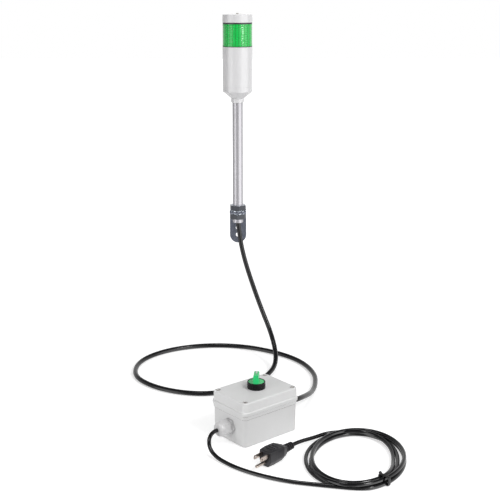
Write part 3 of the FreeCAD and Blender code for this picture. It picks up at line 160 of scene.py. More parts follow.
class Shader:
    """A node material that is put together step by step around one Principled shader."""

    noise_span = (0.3, 0.7)

    def __init__(self, name: str, colour: Colour, roughness: float, metallic: float = 0.0) -> None:
        """Start a material.

        Args:
            name: Name of the material.
            colour: Base colour, linear.
            roughness: Base roughness.
            metallic: 1 for bare metal.
        """
        self.material = bpy.data.materials.new(name)
        self.material.use_nodes = True
        self.material.diffuse_color = (*colour, 1.0)
        self.tree = self.material.node_tree
        self.surface = self.tree.nodes["Principled BSDF"]
        self.colour = colour
        self.put("Base Color", (*colour, 1.0))
        self.put("Roughness", roughness)
        self.put("Metallic", metallic)

    def put(self, name: str, value: Socket | float | tuple[float, ...]) -> None:
        """Link a socket to the shader's own one, or set a constant on it."""
        if isinstance(value, Socket):
            self.tree.links.new(value, self.surface.inputs[name])
        else:
            self.surface.inputs[name].default_value = value

    def node(self, kind: str, inputs: Mapping | None = None, **settings: object) -> Node:
        """Add a node to the material, as add_node does."""
        return add_node(self.tree, kind, inputs, **settings)

    def place(self, scale: Point = (1.0, 1.0, 1.0), centre: Point = (0.0, 0.0, 0.0)) -> Socket:
        """Object coordinates about a centre, stretched by a scale.

        Args:
            scale: Factor along each axis.
            centre: Point of the model that becomes the origin.

        Returns:
            The vector socket.
        """
        where = self.node("TexCoord").outputs["Object"]
        shift = self.node("VectorMath", {0: where, 1: centre}, operation="SUBTRACT")
        stretch = self.node("VectorMath", {0: shift.outputs[0], 1: scale}, operation="MULTIPLY")
        return stretch.outputs[0]

    def noise(self, where: Socket, scale: float, detail: float = 3.0) -> Socket:
        """Cloudy noise between 0 and 1.

        Args:
            where: Coordinates.
            scale: Cells per metre.
            detail: Number of finer layers.

        Returns:
            The factor socket.
        """
        return self.node("TexNoise", {"Vector": where, "Scale": scale, "Detail": detail}).outputs["Fac"]

    def vary_colour(self, value: Socket, spread: float) -> None:
        """Let the base colour drift darker and lighter by a share of itself.

        Args:
            value: Noise that drives the drift.
            spread: Share of the colour by which it drifts each way.
        """
        dark = [channel * (1 - spread) for channel in self.colour]
        light = [min(1.0, channel * (1 + spread)) for channel in self.colour]
        self.put("Base Color", colour_ramp(self.tree, value, list(zip(self.noise_span, (dark, light)))))

    def vary_roughness(self, value: Socket, low: float, high: float) -> None:
        """Let the roughness drift with a noise between two levels."""
        least, most = self.noise_span
        span = {"Value": value, "From Min": least, "From Max": most, "To Min": low, "To Max": high}
        self.put("Roughness", self.node("MapRange", span).outputs["Result"])

    def emboss(self, value: Socket, depth: float, share: float) -> None:
        """Raise the surface by a height map.

        Args:
            value: Height map of 0 to 1.
            depth: Height at 1, in metres.
            share: Share of the full effect.
        """
        bump = self.node("Bump", {"Height": value, "Distance": depth, "Strength": share})
        self.put("Normal", bump.outputs["Normal"])


@dataclass(frozen=True)
class Finish:
    """Injection-moulded plastic, and what every finish has.

    Attributes:
        name: Name of the material.
        colour: Base colour, linear.
        roughness: Base roughness.
        grain: Grains per metre.
        grain_depth: Depth of the grain; 0 leaves it off.
        drift: Share of the colour by which it drifts each way.
        coat: Weight of the clear coat.
        shine: Level of the mirror light.
        metallic: 1 for bare metal.
        transmission: Share of the light that goes through.
        gloss: Factors between which the roughness drifts; equal ones leave it even.
    """

    name: str
    colour: Colour
    roughness: float = 0.35
    grain: float = 1400.0
    grain_depth: float = 0.02 * MM
    drift: float = 0.02
    coat: float = 0.0
    shine: float = 0.5
    metallic: float = 0.0
    transmission: float = 0.0
    gloss: tuple[float, float] = (0.88, 1.12)
    drift_scale: float = 24.0
    gloss_scale: float = 60.0
    grain_detail: float = 2.0
    grain_share: float = 0.5
    coat_roughness: float = 0.12
    ior: float = 1.49

    def make(self) -> bpy.types.Material:
        """Build the material."""
        shader = Shader(self.name, self.colour, self.roughness, self.metallic)
        where = shader.place()
        self.paint(shader, where)
        low, high = (factor * self.roughness for factor in self.gloss)
        if low < high:
            shader.vary_roughness(shader.noise(where, self.gloss_scale), low, high)
        if self.grain_depth:
            grains = shader.noise(where, self.grain, self.grain_detail)
            shader.emboss(grains, self.grain_depth, self.grain_share)
        shader.put("IOR", self.ior)
        shader.put("Specular IOR Level", self.shine)
        shader.put("Coat Weight", self.coat)
        shader.put("Coat Roughness", self.coat_roughness)
        shader.put("Transmission Weight", self.transmission)
        return shader.material

    def paint(self, shader: Shader, where: Socket) -> None:
        """Give the shader its base colour, with its drift."""
        shader.vary_colour(shader.noise(where, self.drift_scale), self.drift)


@dataclass(frozen=True)
class ShadowLinedPlastic(Finish):
    """Moulded plastic with a painted shadow line at each height where two edges meet: painted shade under the lid's
    skirt and under the base's rim step.
    """

    # Heights of the painted shadow lines: just under the lid's skirt and at the rim's step.
    shadow_line_heights: tuple[float, ...] = (FLOOR + 52.9 * MM, FLOOR + 47.0 * MM)
    shadow_line_half: float = 0.45 * MM
    shadow_line_colour: Colour = (0.13, 0.11, 0.10)

    def paint(self, shader: Shader, where: Socket) -> None:
        """Lay the painted shadow lines over the drifting colour."""
        super().paint(shader, where)
        height = shader.node("SeparateXYZ", {0: where}).outputs["Z"]
        colour = shader.surface.inputs["Base Color"].links[0].from_socket
        # Each pass darkens a thin band of heights to the painted shadow colour, standing in for the shade in the
        # joint.
        for shadow_line_height in self.shadow_line_heights:
            near = shader.node("Math", {0: height, 1: shadow_line_height, 2: self.shadow_line_half}, operation="COMPARE")
            inputs = {"Factor": near.outputs[0], 6: colour, 7: (*self.shadow_line_colour, 1.0)}
            colour = shader.node("Mix", inputs, data_type="RGBA").outputs[2]
        shader.put("Base Color", colour)


@dataclass(frozen=True)
class PlatedMetal(Finish):
    """Zinc or nickel plate: a mottled gloss with faint spots."""

    roughness: float = 0.3
    grain: float = 900.0
    drift: float = 0.08
    metallic: float = 1.0
    gloss: tuple[float, float] = (0.75, 1.25)
    drift_scale: float = 160.0
    gloss_scale: float = 420.0
    grain_detail: float = 3.0
    grain_share: float = 0.3
    ior: float = 1.5


@dataclass(frozen=True)
class FacingShadedNut(PlatedMetal):
    """Steel nut with dark flats and light end faces, painted by the way each surface faces: painted reflection of the
    dark surroundings in the flats and of the bright ones in the end faces.
    """

    painted_face_light: Colour = (0.72, 0.75, 0.80)

    def paint(self, shader: Shader, where: Socket) -> None:
        """Run from the flats' dark colour to the faces' painted light as the surface turns up or down."""
        facing = shader.node("SeparateXYZ", {0: shader.node("TexCoord").outputs["Normal"]})
        upright = shader.node("Math", {0: facing.outputs["Z"]}, operation="ABSOLUTE")
        # Painted reflection: upright flats get the dark colour, level end faces the light one.
        stops = [(0.25, self.colour), (0.5, self.painted_face_light)]
        shader.put("Base Color", colour_ramp(shader.tree, upright.outputs[0], stops))


@dataclass(frozen=True)
class TurnedMetal(Finish):
    """Metal tube with fine marks that run round an upright axis."""

    grain_depth: float = 0.01 * MM
    metallic: float = 0.34
    axis: Point = (0.0, 0.0, 0.0)

    def make(self) -> bpy.types.Material:
        """Build the material."""
        shader = Shader(self.name, self.colour, self.roughness, self.metallic)
        marks = shader.noise(shader.place((1.0, 1.0, 30.0), self.axis), 90.0, 4.0)
        shader.vary_roughness(marks, 0.8 * self.roughness, 1.2 * self.roughness)
        shader.vary_colour(shader.noise(shader.place((1.0, 1.0, 0.2)), 30.0), 0.03)
        shader.emboss(marks, self.grain_depth, 0.35)
        return shader.material


@dataclass(frozen=True)
class FlutedLens(Finish):
    """Clear tinted lens with darker upright lines painted at its inner flutes: painted shade that stands in for the
    way the flutes bend the light.

    The colour runs from the painted shade's to the full colour with |sin| of the angle counted in flutes.
    """

    roughness: float = 0.13
    grain_depth: float = 0.0
    coat: float = 0.3
    transmission: float = 0.06
    gloss: tuple[float, float] = (1.0, 1.0)
    coat_roughness: float = 0.05
    painted_flute_shade: Colour = (0.001, 0.30, 0.035)
    axis: Point = (0.0, 0.0, 0.0)
    flutes: int = 1

    def paint(self, shader: Shader, where: Socket) -> None:
        """Colour the lens by the angle about its axis, with the painted shade at the flutes."""
        split = shader.node("SeparateXYZ", {0: shader.place(centre=self.axis)}).outputs
        angle = shader.node("Math", {0: split["Y"], 1: split["X"]}, operation="ARCTAN2")
        count = shader.node("Math", {0: angle.outputs[0], 1: self.flutes / 2}, operation="MULTIPLY")
        wave = shader.node("Math", {0: count.outputs[0]}, operation="SINE")
        share = shader.node("Math", {0: wave.outputs[0]}, operation="ABSOLUTE")
        # Painted shade lines where |sin| of the flute angle is low.
        stops = [(0.0, self.painted_flute_shade), (0.6, self.colour)]
        shader.put("Base Color", colour_ramp(shader.tree, share.outputs[0], stops))


@dataclass(frozen=True)
class Rubber(Finish):
    """Dull soft moulding, or the jacket of a cable, with a fine speckle."""

    grain: float = 900.0
    grain_depth: float = 0.06 * MM
    drift: float = 0.15
    coat: float = 0.1
    gloss: tuple[float, float] = (0.8, 1.2)
    drift_scale: float = 70.0
    gloss_scale: float = 300.0
    grain_share: float = 0.6
    ior: float = 1.5


WHITE_PLASTIC = Finish("white_moulding", (0.75, 0.745, 0.755), 0.14, 1500.0, 0.004 * MM, 0.012, 0.4)
# The box moulding carries painted shadow lines at the lid's joint and the rim's step.
BOX_PLASTIC = ShadowLinedPlastic("grey_box_moulding", (0.755, 0.755, 0.755), 0.5, 1100.0, 0.05 * MM)
GLAND_NYLON = Finish("grey_nylon", (0.62, 0.615, 0.62), 0.3, 900.0, coat=0.3)
BLACK_PLASTIC = Finish("black_moulding", (0.006, 0.005, 0.006), 0.22, 1100.0, 0.01 * MM, 0.1, shine=0.2)
PLUG_PLASTIC = Finish("black_vinyl_moulding", (0.017, 0.016, 0.019), 0.42, 800.0, 0.05 * MM, 0.12, shine=0.35)
CONTACT_PLASTIC = Finish("dark_contact_moulding", (0.03, 0.03, 0.033), 0.45)
TERMINAL_PLASTIC = Finish("grey_terminal_moulding", (0.42, 0.43, 0.45), 0.45)
KNOB_PLASTIC = Finish("green_knob_moulding", (0.012, 0.56, 0.16), 0.28, 1500.0, 0.01 * MM, coat=0.2)
MARKER_PLASTIC = Finish("white_pointer_moulding", (0.52, 0.53, 0.52), 0.3)
CHIP_RESIN = Finish(
    "lamp_chip_resin",
    (0.9, 0.88, 0.6),
    0.15,
    grain_depth=0.0,
    drift=0.04,
    transmission=0.2,
    gloss=(0.7, 1.4),
    drift_scale=50.0,
    gloss_scale=300.0,
)
BOARD_RESIN = Finish("green_board_resin", (0.012, 0.10, 0.04))
PART_RESIN = Finish("dark_component_sleeve", (0.02, 0.02, 0.04), 0.3)
BRACKET_COAT = PlatedMetal("blue_grey_plate", (0.15, 0.163, 0.205), 0.45, metallic=0.45)
ZINC_PLATE = PlatedMetal("zinc_plate", (0.60, 0.64, 0.70), 0.26)
NICKEL_PLATE = PlatedMetal("nickel_plate", (0.66, 0.65, 0.62), 0.24)
# The nut's finish paints its flats dark and its end faces light by the way they face, a painted reflection.
NUT_STEEL = FacingShadedNut("steel_with_painted_facing_light", (0.045, 0.047, 0.052), 0.36, 700.0, 0.03 * MM, grain_share=0.4)
STAINLESS = PlatedMetal("stainless_steel", (0.58, 0.55, 0.52))
PRONG_BRASS = PlatedMetal("plated_brass", (0.44, 0.38, 0.34))
CABLE_JACKET = Rubber("cable_jacket", (0.006, 0.006, 0.007), 0.22, 900.0, 0.12 * MM, shine=0.3)
CORD_JACKET = Rubber("cord_jacket", (0.005, 0.005, 0.006), 0.14, 1200.0, 0.005 * MM, coat=0.35, shine=0.3)
SEAL_RUBBER = Rubber("seal_rubber", (0.012, 0.013, 0.016), 0.45)
TIE_COAT = Rubber("tie_coat", (0.012, 0.012, 0.013))


@cache
def material_of(finish: Finish) -> bpy.types.Material:
    """The material of a finish, which is made when it is first asked for."""
    return finish.make()


# ---- Surfaces ----
def profile(*corners: Point, steps: int = 5, unit: float = MM) -> np.ndarray:
    """A closed outline with its corners rounded.

    At each corner the outline leaves its edges at the corner's setback and follows the quadratic
    curve (1-t)^2 start + 2t(1-t) corner + t^2 end.

    Args:
        corners: (first coordinate, second coordinate, setback) of each corner, in order.
        steps: Points on each corner's curve.
        unit: Unit of the setbacks.

    Returns:
        Points of the outline, one row each.
    """
    table = np.array(corners, float)
    spots = table[:, :2]
    before = np.roll(spots, 1, axis=0) - spots
    after = np.roll(spots, -1, axis=0) - spots
    reach_before = np.linalg.norm(before, axis=1)
    reach_after = np.linalg.norm(after, axis=1)
    setback = np.minimum(table[:, 2] * unit, 0.48 * np.minimum(reach_before, reach_after))
    start = spots + before * (setback / reach_before)[:, None]
    end = spots + after * (setback / reach_after)[:, None]
    share = np.linspace(0, 1, steps)[None, :, None]
    curve = (1 - share) ** 2 * start[:, None] + 2 * share * (1 - share) * spots[:, None]
    curve = curve + share**2 * end[:, None]
    return curve.reshape(-1, 2)


def tube_profile(inner: float, outer: float, low: float, high: float) -> np.ndarray:
    """Outline of a plain tube or ring with slightly rounded rims."""
    edge = 0.3
    return profile((inner, low, edge), (outer, low, edge), (outer, high, edge), (inner, high, edge))


def rows(first: Iterable[float] | float, second: Iterable[float] | float) -> np.ndarray:
    """Points from their two coordinates, either of which may be one number for all."""
    return np.stack(np.broadcast_arrays(np.asarray(first, float), np.asarray(second, float)), -1)


def evenly(outline: np.ndarray, count: int) -> np.ndarray:
    """Points spread evenly along a closed outline.

    Args:
        outline: Corner points, one row each.
        count: Number of points to give.

    Returns:
        The points, one row each.
    """
    closed = np.vstack([outline, outline[:1]])
    run = np.r_[0, np.cumsum(np.linalg.norm(np.diff(closed, axis=0), axis=1))]
    spots = np.linspace(0, run[-1], count, endpoint=False)
    return np.stack([np.interp(spots, run, closed[:, i]) for i in range(closed.shape[1])], -1)


def swept(line: np.ndarray, radius: float, reference: Vector, closed: bool) -> Surface:
    """A round wire along a line.

    The section's first side is the tangent crossed with the reference, and its second is the
    tangent crossed with the first.

    Args:
        line: Points of the wire's middle, one row each.
        radius: Radius of the wire.
        reference: A direction that the line never runs along.
        closed: Whether the last point joins the first.

    Returns:
        Points and quads.
    """
    sides = 12
    padded = np.vstack([line[-1:], line, line[:1]]) if closed else line
    tangent = np.gradient(padded, axis=0)
    tangent = tangent[1:-1] if closed else tangent
    tangent /= np.linalg.norm(tangent, axis=1)[:, None]
    first = np.cross(tangent, np.array(reference))
    first /= np.linalg.norm(first, axis=1)[:, None]
    second = np.cross(tangent, first)
    angle = np.linspace(0, FULL_TURN, sides, endpoint=False)[None, :, None]
    size = np.full(len(line), radius)
    if not closed:
        line, first, second = (np.vstack([side[:1], side, side[-1:]]) for side in (line, first, second))
        size = np.r_[0.0, size, 0.0]
    ring = first[:, None] * np.cos(angle) + second[:, None] * np.sin(angle)
    points = line[:, None] + size[:, None, None] * ring
    return points.reshape(-1, 3), grid_quads(len(line), sides, closed)


def grid_quads(row_count: int, columns: int, rows_close: bool) -> np.ndarray:
    """Corner numbers of the quads of a grid of points, whose last column joins the first.

    Args:
        row_count: Number of rows.
        columns: Number of columns.
        rows_close: Whether the last row joins the first.

    Returns:
        One row of four numbers for each quad.
    """
    row = np.arange(row_count if rows_close else row_count - 1)[:, None]
    column = np.arange(columns)[None, :]
    next_row = (row + 1) % row_count * columns
    next_column = (column + 1) % columns
    row = row * columns
    corners = [row + column, row + next_column, next_row + next_column, next_row + column]
    return np.stack(corners, -1).reshape(-1, 4)


def heading(degrees: float) -> Vector:
    """Level direction at an angle from +X towards +Y."""
    return Vector((math.cos(math.radians(degrees)), math.sin(math.radians(degrees)), 0.0))


@dataclass(frozen=True)
class Span:
    """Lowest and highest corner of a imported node."""

    low: Vector
    high: Vector

    @classmethod
    def of(cls, node: str) -> "Span":
        """Corners of a node."""
        return cls(*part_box(node))

    @property
    def centre(self) -> Vector:
        """Middle of the two corners."""
        return (self.low + self.high) / 2

    @property
    def radius(self) -> float:
        """Half the width from left to right."""
        return (self.high.x - self.low.x) / 2


@dataclass(frozen=True)
class Axis:
    """A line that pieces are turned about: its start, its direction and where its first side points."""

    start: Vector
    direction: Vector = field(default_factory=lambda: UP)
    side: Vector = field(default_factory=lambda: Vector((1, 0, 0)))

    @classmethod
    def through(cls, node: str, side: float = 0.0) -> "Axis":
        """Upright line through a node's middle, starting level with the origin.

        Args:
            node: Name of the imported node.
            side: Heading of the first side, in degrees.

        Returns:
            The axis.
        """
        centre = Span.of(node).centre
        return cls(Vector((centre.x, centre.y, 0)), side=heading(side))

    def place(self, along: np.ndarray, across: np.ndarray, up: np.ndarray) -> np.ndarray:
        """Carry local coordinates to the model: along the axis, along its side and square to both.

        Args:
            along: Distance along the axis.
            across: Distance along the side.
            up: Distance square to both.

        Returns:
            Points, one row each.
        """
        third = self.direction.cross(self.side)
        columns = [
            self.start[i] + along * self.direction[i] + across * self.side[i] + up * third[i]
            for i in range(3)
        ]
        return np.stack(columns, -1).reshape(-1, 3)


def supported(outline: np.ndarray) -> np.ndarray:
    """Outline with a point near each end of every long stretch, which keeps the shading of its edges there.

    Args:
        outline: Closed outline, one (radius, height) row for each point.

    Returns:
        The outline with more rows.
    """
    reach = 0.25 * MM
    run = np.roll(outline, -1, axis=0) - outline
    length = np.hypot(run[:, 0], run[:, 1])
    step = run * reach / np.maximum(length, reach)[:, None]
    more = np.stack([outline, outline + step, outline + run - step], axis=1)
    stretch = (length > 8 * reach) & (outline[:, 0] + np.abs(run[:, 0]) > 0)
    return more[np.stack([np.ones_like(stretch), stretch, stretch], axis=1)]


def turned(outline: np.ndarray, axis: Axis, segments: int = 96, shape: Shape | None = None) -> Surface:
    """Turn a closed outline of (radius, height) about an axis.

    The point at angle a is the axis point at the outline's height plus its radius in the direction
    a. Where a shape is given, it changes the radius by angle.

    Args:
        outline: Closed outline, one (radius, height) row for each point.
        axis: The axis.
        segments: Steps round the axis.
        shape: Function of (angle, radius) that gives the radius.

    Returns:
        Points and quads.
    """
    outline = supported(outline)
    angle = np.linspace(0, FULL_TURN, segments, endpoint=False)[None, :]
    radius = np.repeat(outline[:, :1], segments, axis=1)
    height = np.repeat(outline[:, 1:], segments, axis=1)
    if shape is not None:
        radius = shape(np.repeat(angle, len(outline), axis=0), radius)
    points = axis.place(height, radius * np.cos(angle), radius * np.sin(angle))
    return points, grid_quads(len(outline), segments, True)


def within_hexagon(flats: float, turn: float = 0.0) -> Shape:
    """Function that holds a turned outline inside a hexagon.

    The hexagon's radius is half its flats over the cosine of the angle from the nearest flat's
    middle.

    Args:
        flats: Distance across the flats.
        turn: Angle of a corner, in degrees.

    Returns:
        Function of (angle, radius) that gives the smaller of the two radii.
    """
    sixth = FULL_TURN / 6

    def smaller(angle: np.ndarray, radius: np.ndarray) -> np.ndarray:
        from_flat = np.mod(angle - math.radians(turn), sixth) - sixth / 2
        return np.minimum(radius, 0.5 * flats / np.cos(from_flat))

    return smaller


def add_piece(
    name: str,
    node: str,
    parts: list[Surface],
    finish: Finish,
    sharp: float = 35.0,
    body: Body = Body.STILL,
) -> Piece:
    """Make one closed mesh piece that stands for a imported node.

    Args:
        name: Name of the piece.
        node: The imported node.
        parts: (points, quads) of each closed part.
        finish: Its finish.
        sharp: Edges that turn by more than this many degrees stay sharp.
        body: Body that it moves with.

    Returns:
        The piece, with coincident points merged and its faces outwards.
    """
    mesh = bpy.data.meshes.new(name)
    offsets = np.cumsum([0] + [len(points) for points, _ in parts[:-1]])
    points = np.concatenate([points for points, _ in parts]).astype(np.float32)
    quads = np.concatenate([quads + offset for (_, quads), offset in zip(parts, offsets)])
    mesh.vertices.add(len(points))
    mesh.vertices.foreach_set("co", points.ravel())
    mesh.loops.add(quads.size)
    mesh.loops.foreach_set("vertex_index", quads.astype(np.int32).ravel())
    mesh.polygons.add(len(quads))
    mesh.polygons.foreach_set("loop_start", np.arange(0, quads.size, 4, dtype=np.int32))
    mesh.update(calc_edges=True)
    merged = bmesh.new()
    merged.from_mesh(mesh)
    bmesh.ops.remove_doubles(merged, verts=merged.verts, dist=0.0005 * MM)
    bmesh.ops.recalc_face_normals(merged, faces=merged.faces)
    merged.to_mesh(mesh)
    merged.free()
    mesh.validate()
    mesh.shade_smooth()
    mesh.set_sharp_from_angle(angle=math.radians(sharp))
    mesh.materials.append(material_of(finish))
    piece = bpy.data.objects.new(name, mesh)
    bpy.context.scene.collection.objects.link(piece)
    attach(piece, body.value)
    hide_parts(node)
    LOG.info("made %s", name)
    return piece


def dress(node: str, finish: Finish, edge: float) -> None:
    """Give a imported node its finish, with merged faces and softened edges.

    Args:
        node: Name of the node.
        finish: Its finish.
        edge: Width of the softened edges; 0 leaves them as they are.
    """
    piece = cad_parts[node]
    piece.data.materials.clear()
    piece.data.materials.append(material_of(finish))
    if edge:
        weld = piece.modifiers.new("weld", "WELD")
        weld.merge_threshold = 0.001 * MM
        merge = piece.modifiers.new("merge", "DECIMATE")
        merge.decimate_type = "DISSOLVE"
        merge.angle_limit = math.radians(0.6)
        soften = piece.modifiers.new("soften", "BEVEL")
        soften.width = edge
        soften.segments = 2
        soften.limit_method = "ANGLE"
        soften.angle_limit = math.radians(28.0)
        soften.harden_normals = True
    LOG.info("dressed %s", node)


# ---- Studio ----
@dataclass(frozen=True)
class SoftLamp:
    """One square soft lamp: its place, where it points, its width and watts, and whether mirrors show it."""

    name: str
    place: Point
    target: Point
    size: float
    power: float
    mirrored: bool = True

    def hang(self) -> None:
        """Hang the lamp."""
        lamp = bpy.data.lights.new(self.name, "AREA")
        lamp.shape = "RECTANGLE"
        lamp.size = lamp.size_y = self.size
        lamp.energy = self.power
        holder = bpy.data.objects.new(self.name, lamp)
        holder.location = self.place
        aim = Vector(self.target) - Vector(self.place)
        holder.rotation_euler = aim.to_track_quat("-Z", "Y").to_euler()
        holder.visible_glossy = self.mirrored
        bpy.context.scene.collection.objects.link(holder)


@dataclass
class Studio:
    """Camera, pale floor, surroundings and lamps."""

    camera_place: Point = (0.0235, -1.927, 0.4570)
    camera_tilt: float = 75.56
    camera_lens: float = 72.0
    floor_reach: float = 9.0
    floor_gap: float = 0.3 * MM
    floor_glow: tuple[float, float] = (0.50, 1.0)
    glow_reach: tuple[float, float] = (0.45, 1.6)
    daylight: float = 0.70
    mirror_light: float = 3.0
    mirror_zenith: float = 0.12
    zenith_span: tuple[float, float] = (0.3, 0.6)
    lamps: tuple[SoftLamp, ...] = (
        SoftLamp("key_lamp", (1.5, -1.5, 1.7), (0.0, -0.15, 0.1), 0.6, 24.0),
        SoftLamp("side_lamp", (-0.85, -1.15, 0.05), (0.03, -0.42, -0.20), 0.5, 4.6, False),
        SoftLamp("top_lamp", (-0.3, -0.4, 2.2), (0.0, -0.3, 0.0), 0.5, 8.0),
    )
    daylight_places: tuple[float, ...] = (0.0, 0.11, 0.20, 0.36, 0.50, 0.66, 0.90, 1.0)
    daylight_levels: tuple[float, ...] = (0.75, 0.45, 0.10, 0.08, 0.45, 1.0, 1.05, 0.75)
    mirror_places: tuple[float, ...] = (
        *(0.0, 0.085, 0.105, 0.122, 0.208, 0.222, 0.36),
        *(0.50, 0.74, 0.785, 0.905, 0.925, 0.962, 0.975),
    )
    mirror_levels: tuple[float, ...] = (
        *(0.17, 0.17, 0.36, 0.85, 0.85, 0.22, 0.24),
        *(0.34, 0.34, 1.0, 1.0, 0.46, 0.40, 0.17),
    )

    def build(self) -> None:
        """Put up the studio."""
        self.put_camera()
        self.put_floor()
        self.put_surroundings()
        for lamp in self.lamps:
            lamp.hang()
        bpy.context.scene.view_settings.view_transform = "Standard"

    def put_camera(self) -> None:
        """Place the camera."""
        lens = bpy.data.cameras.new("camera")
        lens.lens = self.camera_lens
        lens.sensor_width = 36.0
        lens.clip_end = 50.0
        camera = bpy.data.objects.new("camera", lens)
        camera.location = self.camera_place
        camera.rotation_euler = (math.radians(self.camera_tilt), 0.0, 0.0)
        bpy.context.scene.collection.objects.link(camera)
        bpy.context.scene.camera = camera

    def put_floor(self) -> None:
        """Lay the floor, which shows white and keeps the part's soft shadow."""
        reach = self.floor_reach
        level = FLOOR - self.floor_gap
        corners = [(-reach, -reach, level), (reach, -reach, level), (reach, reach, level), (-reach, reach, level)]
        mesh = bpy.data.meshes.new("floor")
        mesh.from_pydata(corners, [], [(0, 1, 2, 3)])
        floor = bpy.data.objects.new("floor", mesh)
        bpy.context.scene.collection.objects.link(floor)
        shader = Shader("floor_white", (0.80, 0.80, 0.80), 0.9)
        shader.put("Specular IOR Level", 0.0)
        distance = shader.node("VectorMath", {0: shader.place()}, operation="LENGTH")
        names = ("From Min", "From Max", "To Min", "To Max")
        span = dict(zip(names, self.glow_reach + self.floor_glow))
        glow = shader.node("MapRange", {"Value": distance.outputs["Value"], **span})
        inputs = {0: seen_rays(shader.tree), 1: glow.outputs["Result"]}
        lift = shader.node("Math", inputs, operation="MULTIPLY")
        shader.put("Emission Color", (1.0, 1.0, 1.0, 1.0))
        shader.put("Emission Strength", lift.outputs[0])
        mesh.materials.append(shader.material)
        floor.visible_glossy = False

    def put_surroundings(self) -> None:
        """Surround the part with white, with other light for matt surfaces and other for glossy ones."""
        world = bpy.data.worlds.new("surroundings")
        bpy.context.scene.world = world
        world.use_nodes = True
        tree = world.node_tree
        tree.nodes.clear()
        white = add_node(tree, "Background", {"Color": (1.0, 1.0, 1.0, 1.0)}).outputs[0]
        light = self.horizon(tree, zip(self.daylight_places, self.daylight_levels), self.daylight, 1.0)
        stops = zip(self.mirror_places, self.mirror_levels)
        mirrored = self.horizon(tree, stops, self.mirror_light, self.mirror_zenith)
        glossy = add_node(tree, "LightPath").outputs["Is Glossy Ray"]
        for chooser, other in ((glossy, mirrored), (seen_rays(tree), white)):
            light = add_node(tree, "MixShader", {"Fac": chooser, 1: light, 2: other}).outputs[0]
        add_node(tree, "OutputWorld", {"Surface": light})

    def horizon(self, tree: Tree, stops: Iterable[tuple[float, float]], strength: float, zenith: float) -> Socket:
        """Light that changes round the horizon and dims upwards.

        The place on the ramp is (angle + 180 degrees) / 360 degrees, with the angle counted from
        straight ahead at +Y towards +X.

        Args:
            tree: Node tree of the surroundings.
            stops: (place on the ramp, level) in order.
            strength: Factor on every level.
            zenith: Factor on the strength high above.

        Returns:
            The shader socket.
        """
        split = add_node(tree, "SeparateXYZ", {0: add_node(tree, "TexCoord").outputs["Generated"]}).outputs
        turn = add_node(tree, "Math", {0: split["X"], 1: split["Y"]}, operation="ARCTAN2")
        span = {"Value": turn.outputs[0], "From Min": -math.pi, "From Max": math.pi}
        place = add_node(tree, "MapRange", span).outputs["Result"]
        low, high = self.zenith_span
        span = {"From Min": low, "From Max": high, "To Min": strength, "To Max": strength * zenith}
        dim = add_node(tree, "MapRange", {"Value": split["Z"], **span}).outputs["Result"]
        colour = colour_ramp(tree, place, [(spot, (level,) * 3) for spot, level in stops])
        return add_node(tree, "Background", {"Color": colour, "Strength": dim}).outputs[0]


# ---- Cords ----
@dataclass(frozen=True)
class CordCurve:
    """One round cord along a smooth line."""

    name: str
    diameter: float
    finish: Rubber
    steps: int = 12

    def lay(self, points: np.ndarray) -> Piece:
        """Lay the cord along its control points.

        Args:
            points: Control points of the line, in metres.

        Returns:
            The cord.
        """
        curve = bpy.data.curves.new(self.name, "CURVE")
        curve.dimensions = "3D"
        curve.resolution_u = self.steps
        curve.render_resolution_u = self.steps
        curve.bevel_depth = self.diameter / 2
        curve.bevel_resolution = 5
        curve.use_fill_caps = True
        spline = curve.splines.new("NURBS")
        spline.points.add(len(points) - 1)
        spline.points.foreach_set("co", np.c_[points, np.ones(len(points))].ravel())
        spline.order_u = 3
        spline.use_endpoint_u = True
        curve.materials.append(material_of(self.finish))
        cord = bpy.data.objects.new(self.name, curve)
        bpy.context.scene.collection.objects.link(cord)
        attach(cord, Body.STILL.value)
        LOG.info("laid %s", self.name)
        return cord


@dataclass
class BoxPlace:
    """How the switch box is turned, and where its glands sit."""

    turn: float = 40.1
    gland_reach: float = 26.5 * MM
    inner_reach: float = 19.0 * MM

    @property
    def along(self) -> Vector:
        """Direction of the box's long side, towards the lamp cable's gland."""
        return heading(self.turn)

    def gland_seat(self, entry: str, side: int) -> Vector:
        """Centre of the wall under a gland, from the sheathed cord that runs through it.

        Args:
            entry: Node of the cord's stretch in the gland.
            side: 1 for the lamp cable's gland, -1 for the mains cord's.

        Returns:
            The centre.
        """
        return Span.of(entry).centre - self.along * side * (self.gland_reach - self.inner_reach) / 2

    def gland_mouth(self, entry: str, side: int) -> Vector:
        """Centre of a gland's outer opening."""
        return self.gland_seat(entry, side) + self.along * side * self.gland_reach


BOX_PLACE = BoxPlace()


def on_floor(points: Iterable[Point]) -> np.ndarray:
    """Points given in millimetres as (x, y, height above the floor), in metres."""
    return np.array(points, float) * MM + (0, 0, FLOOR)


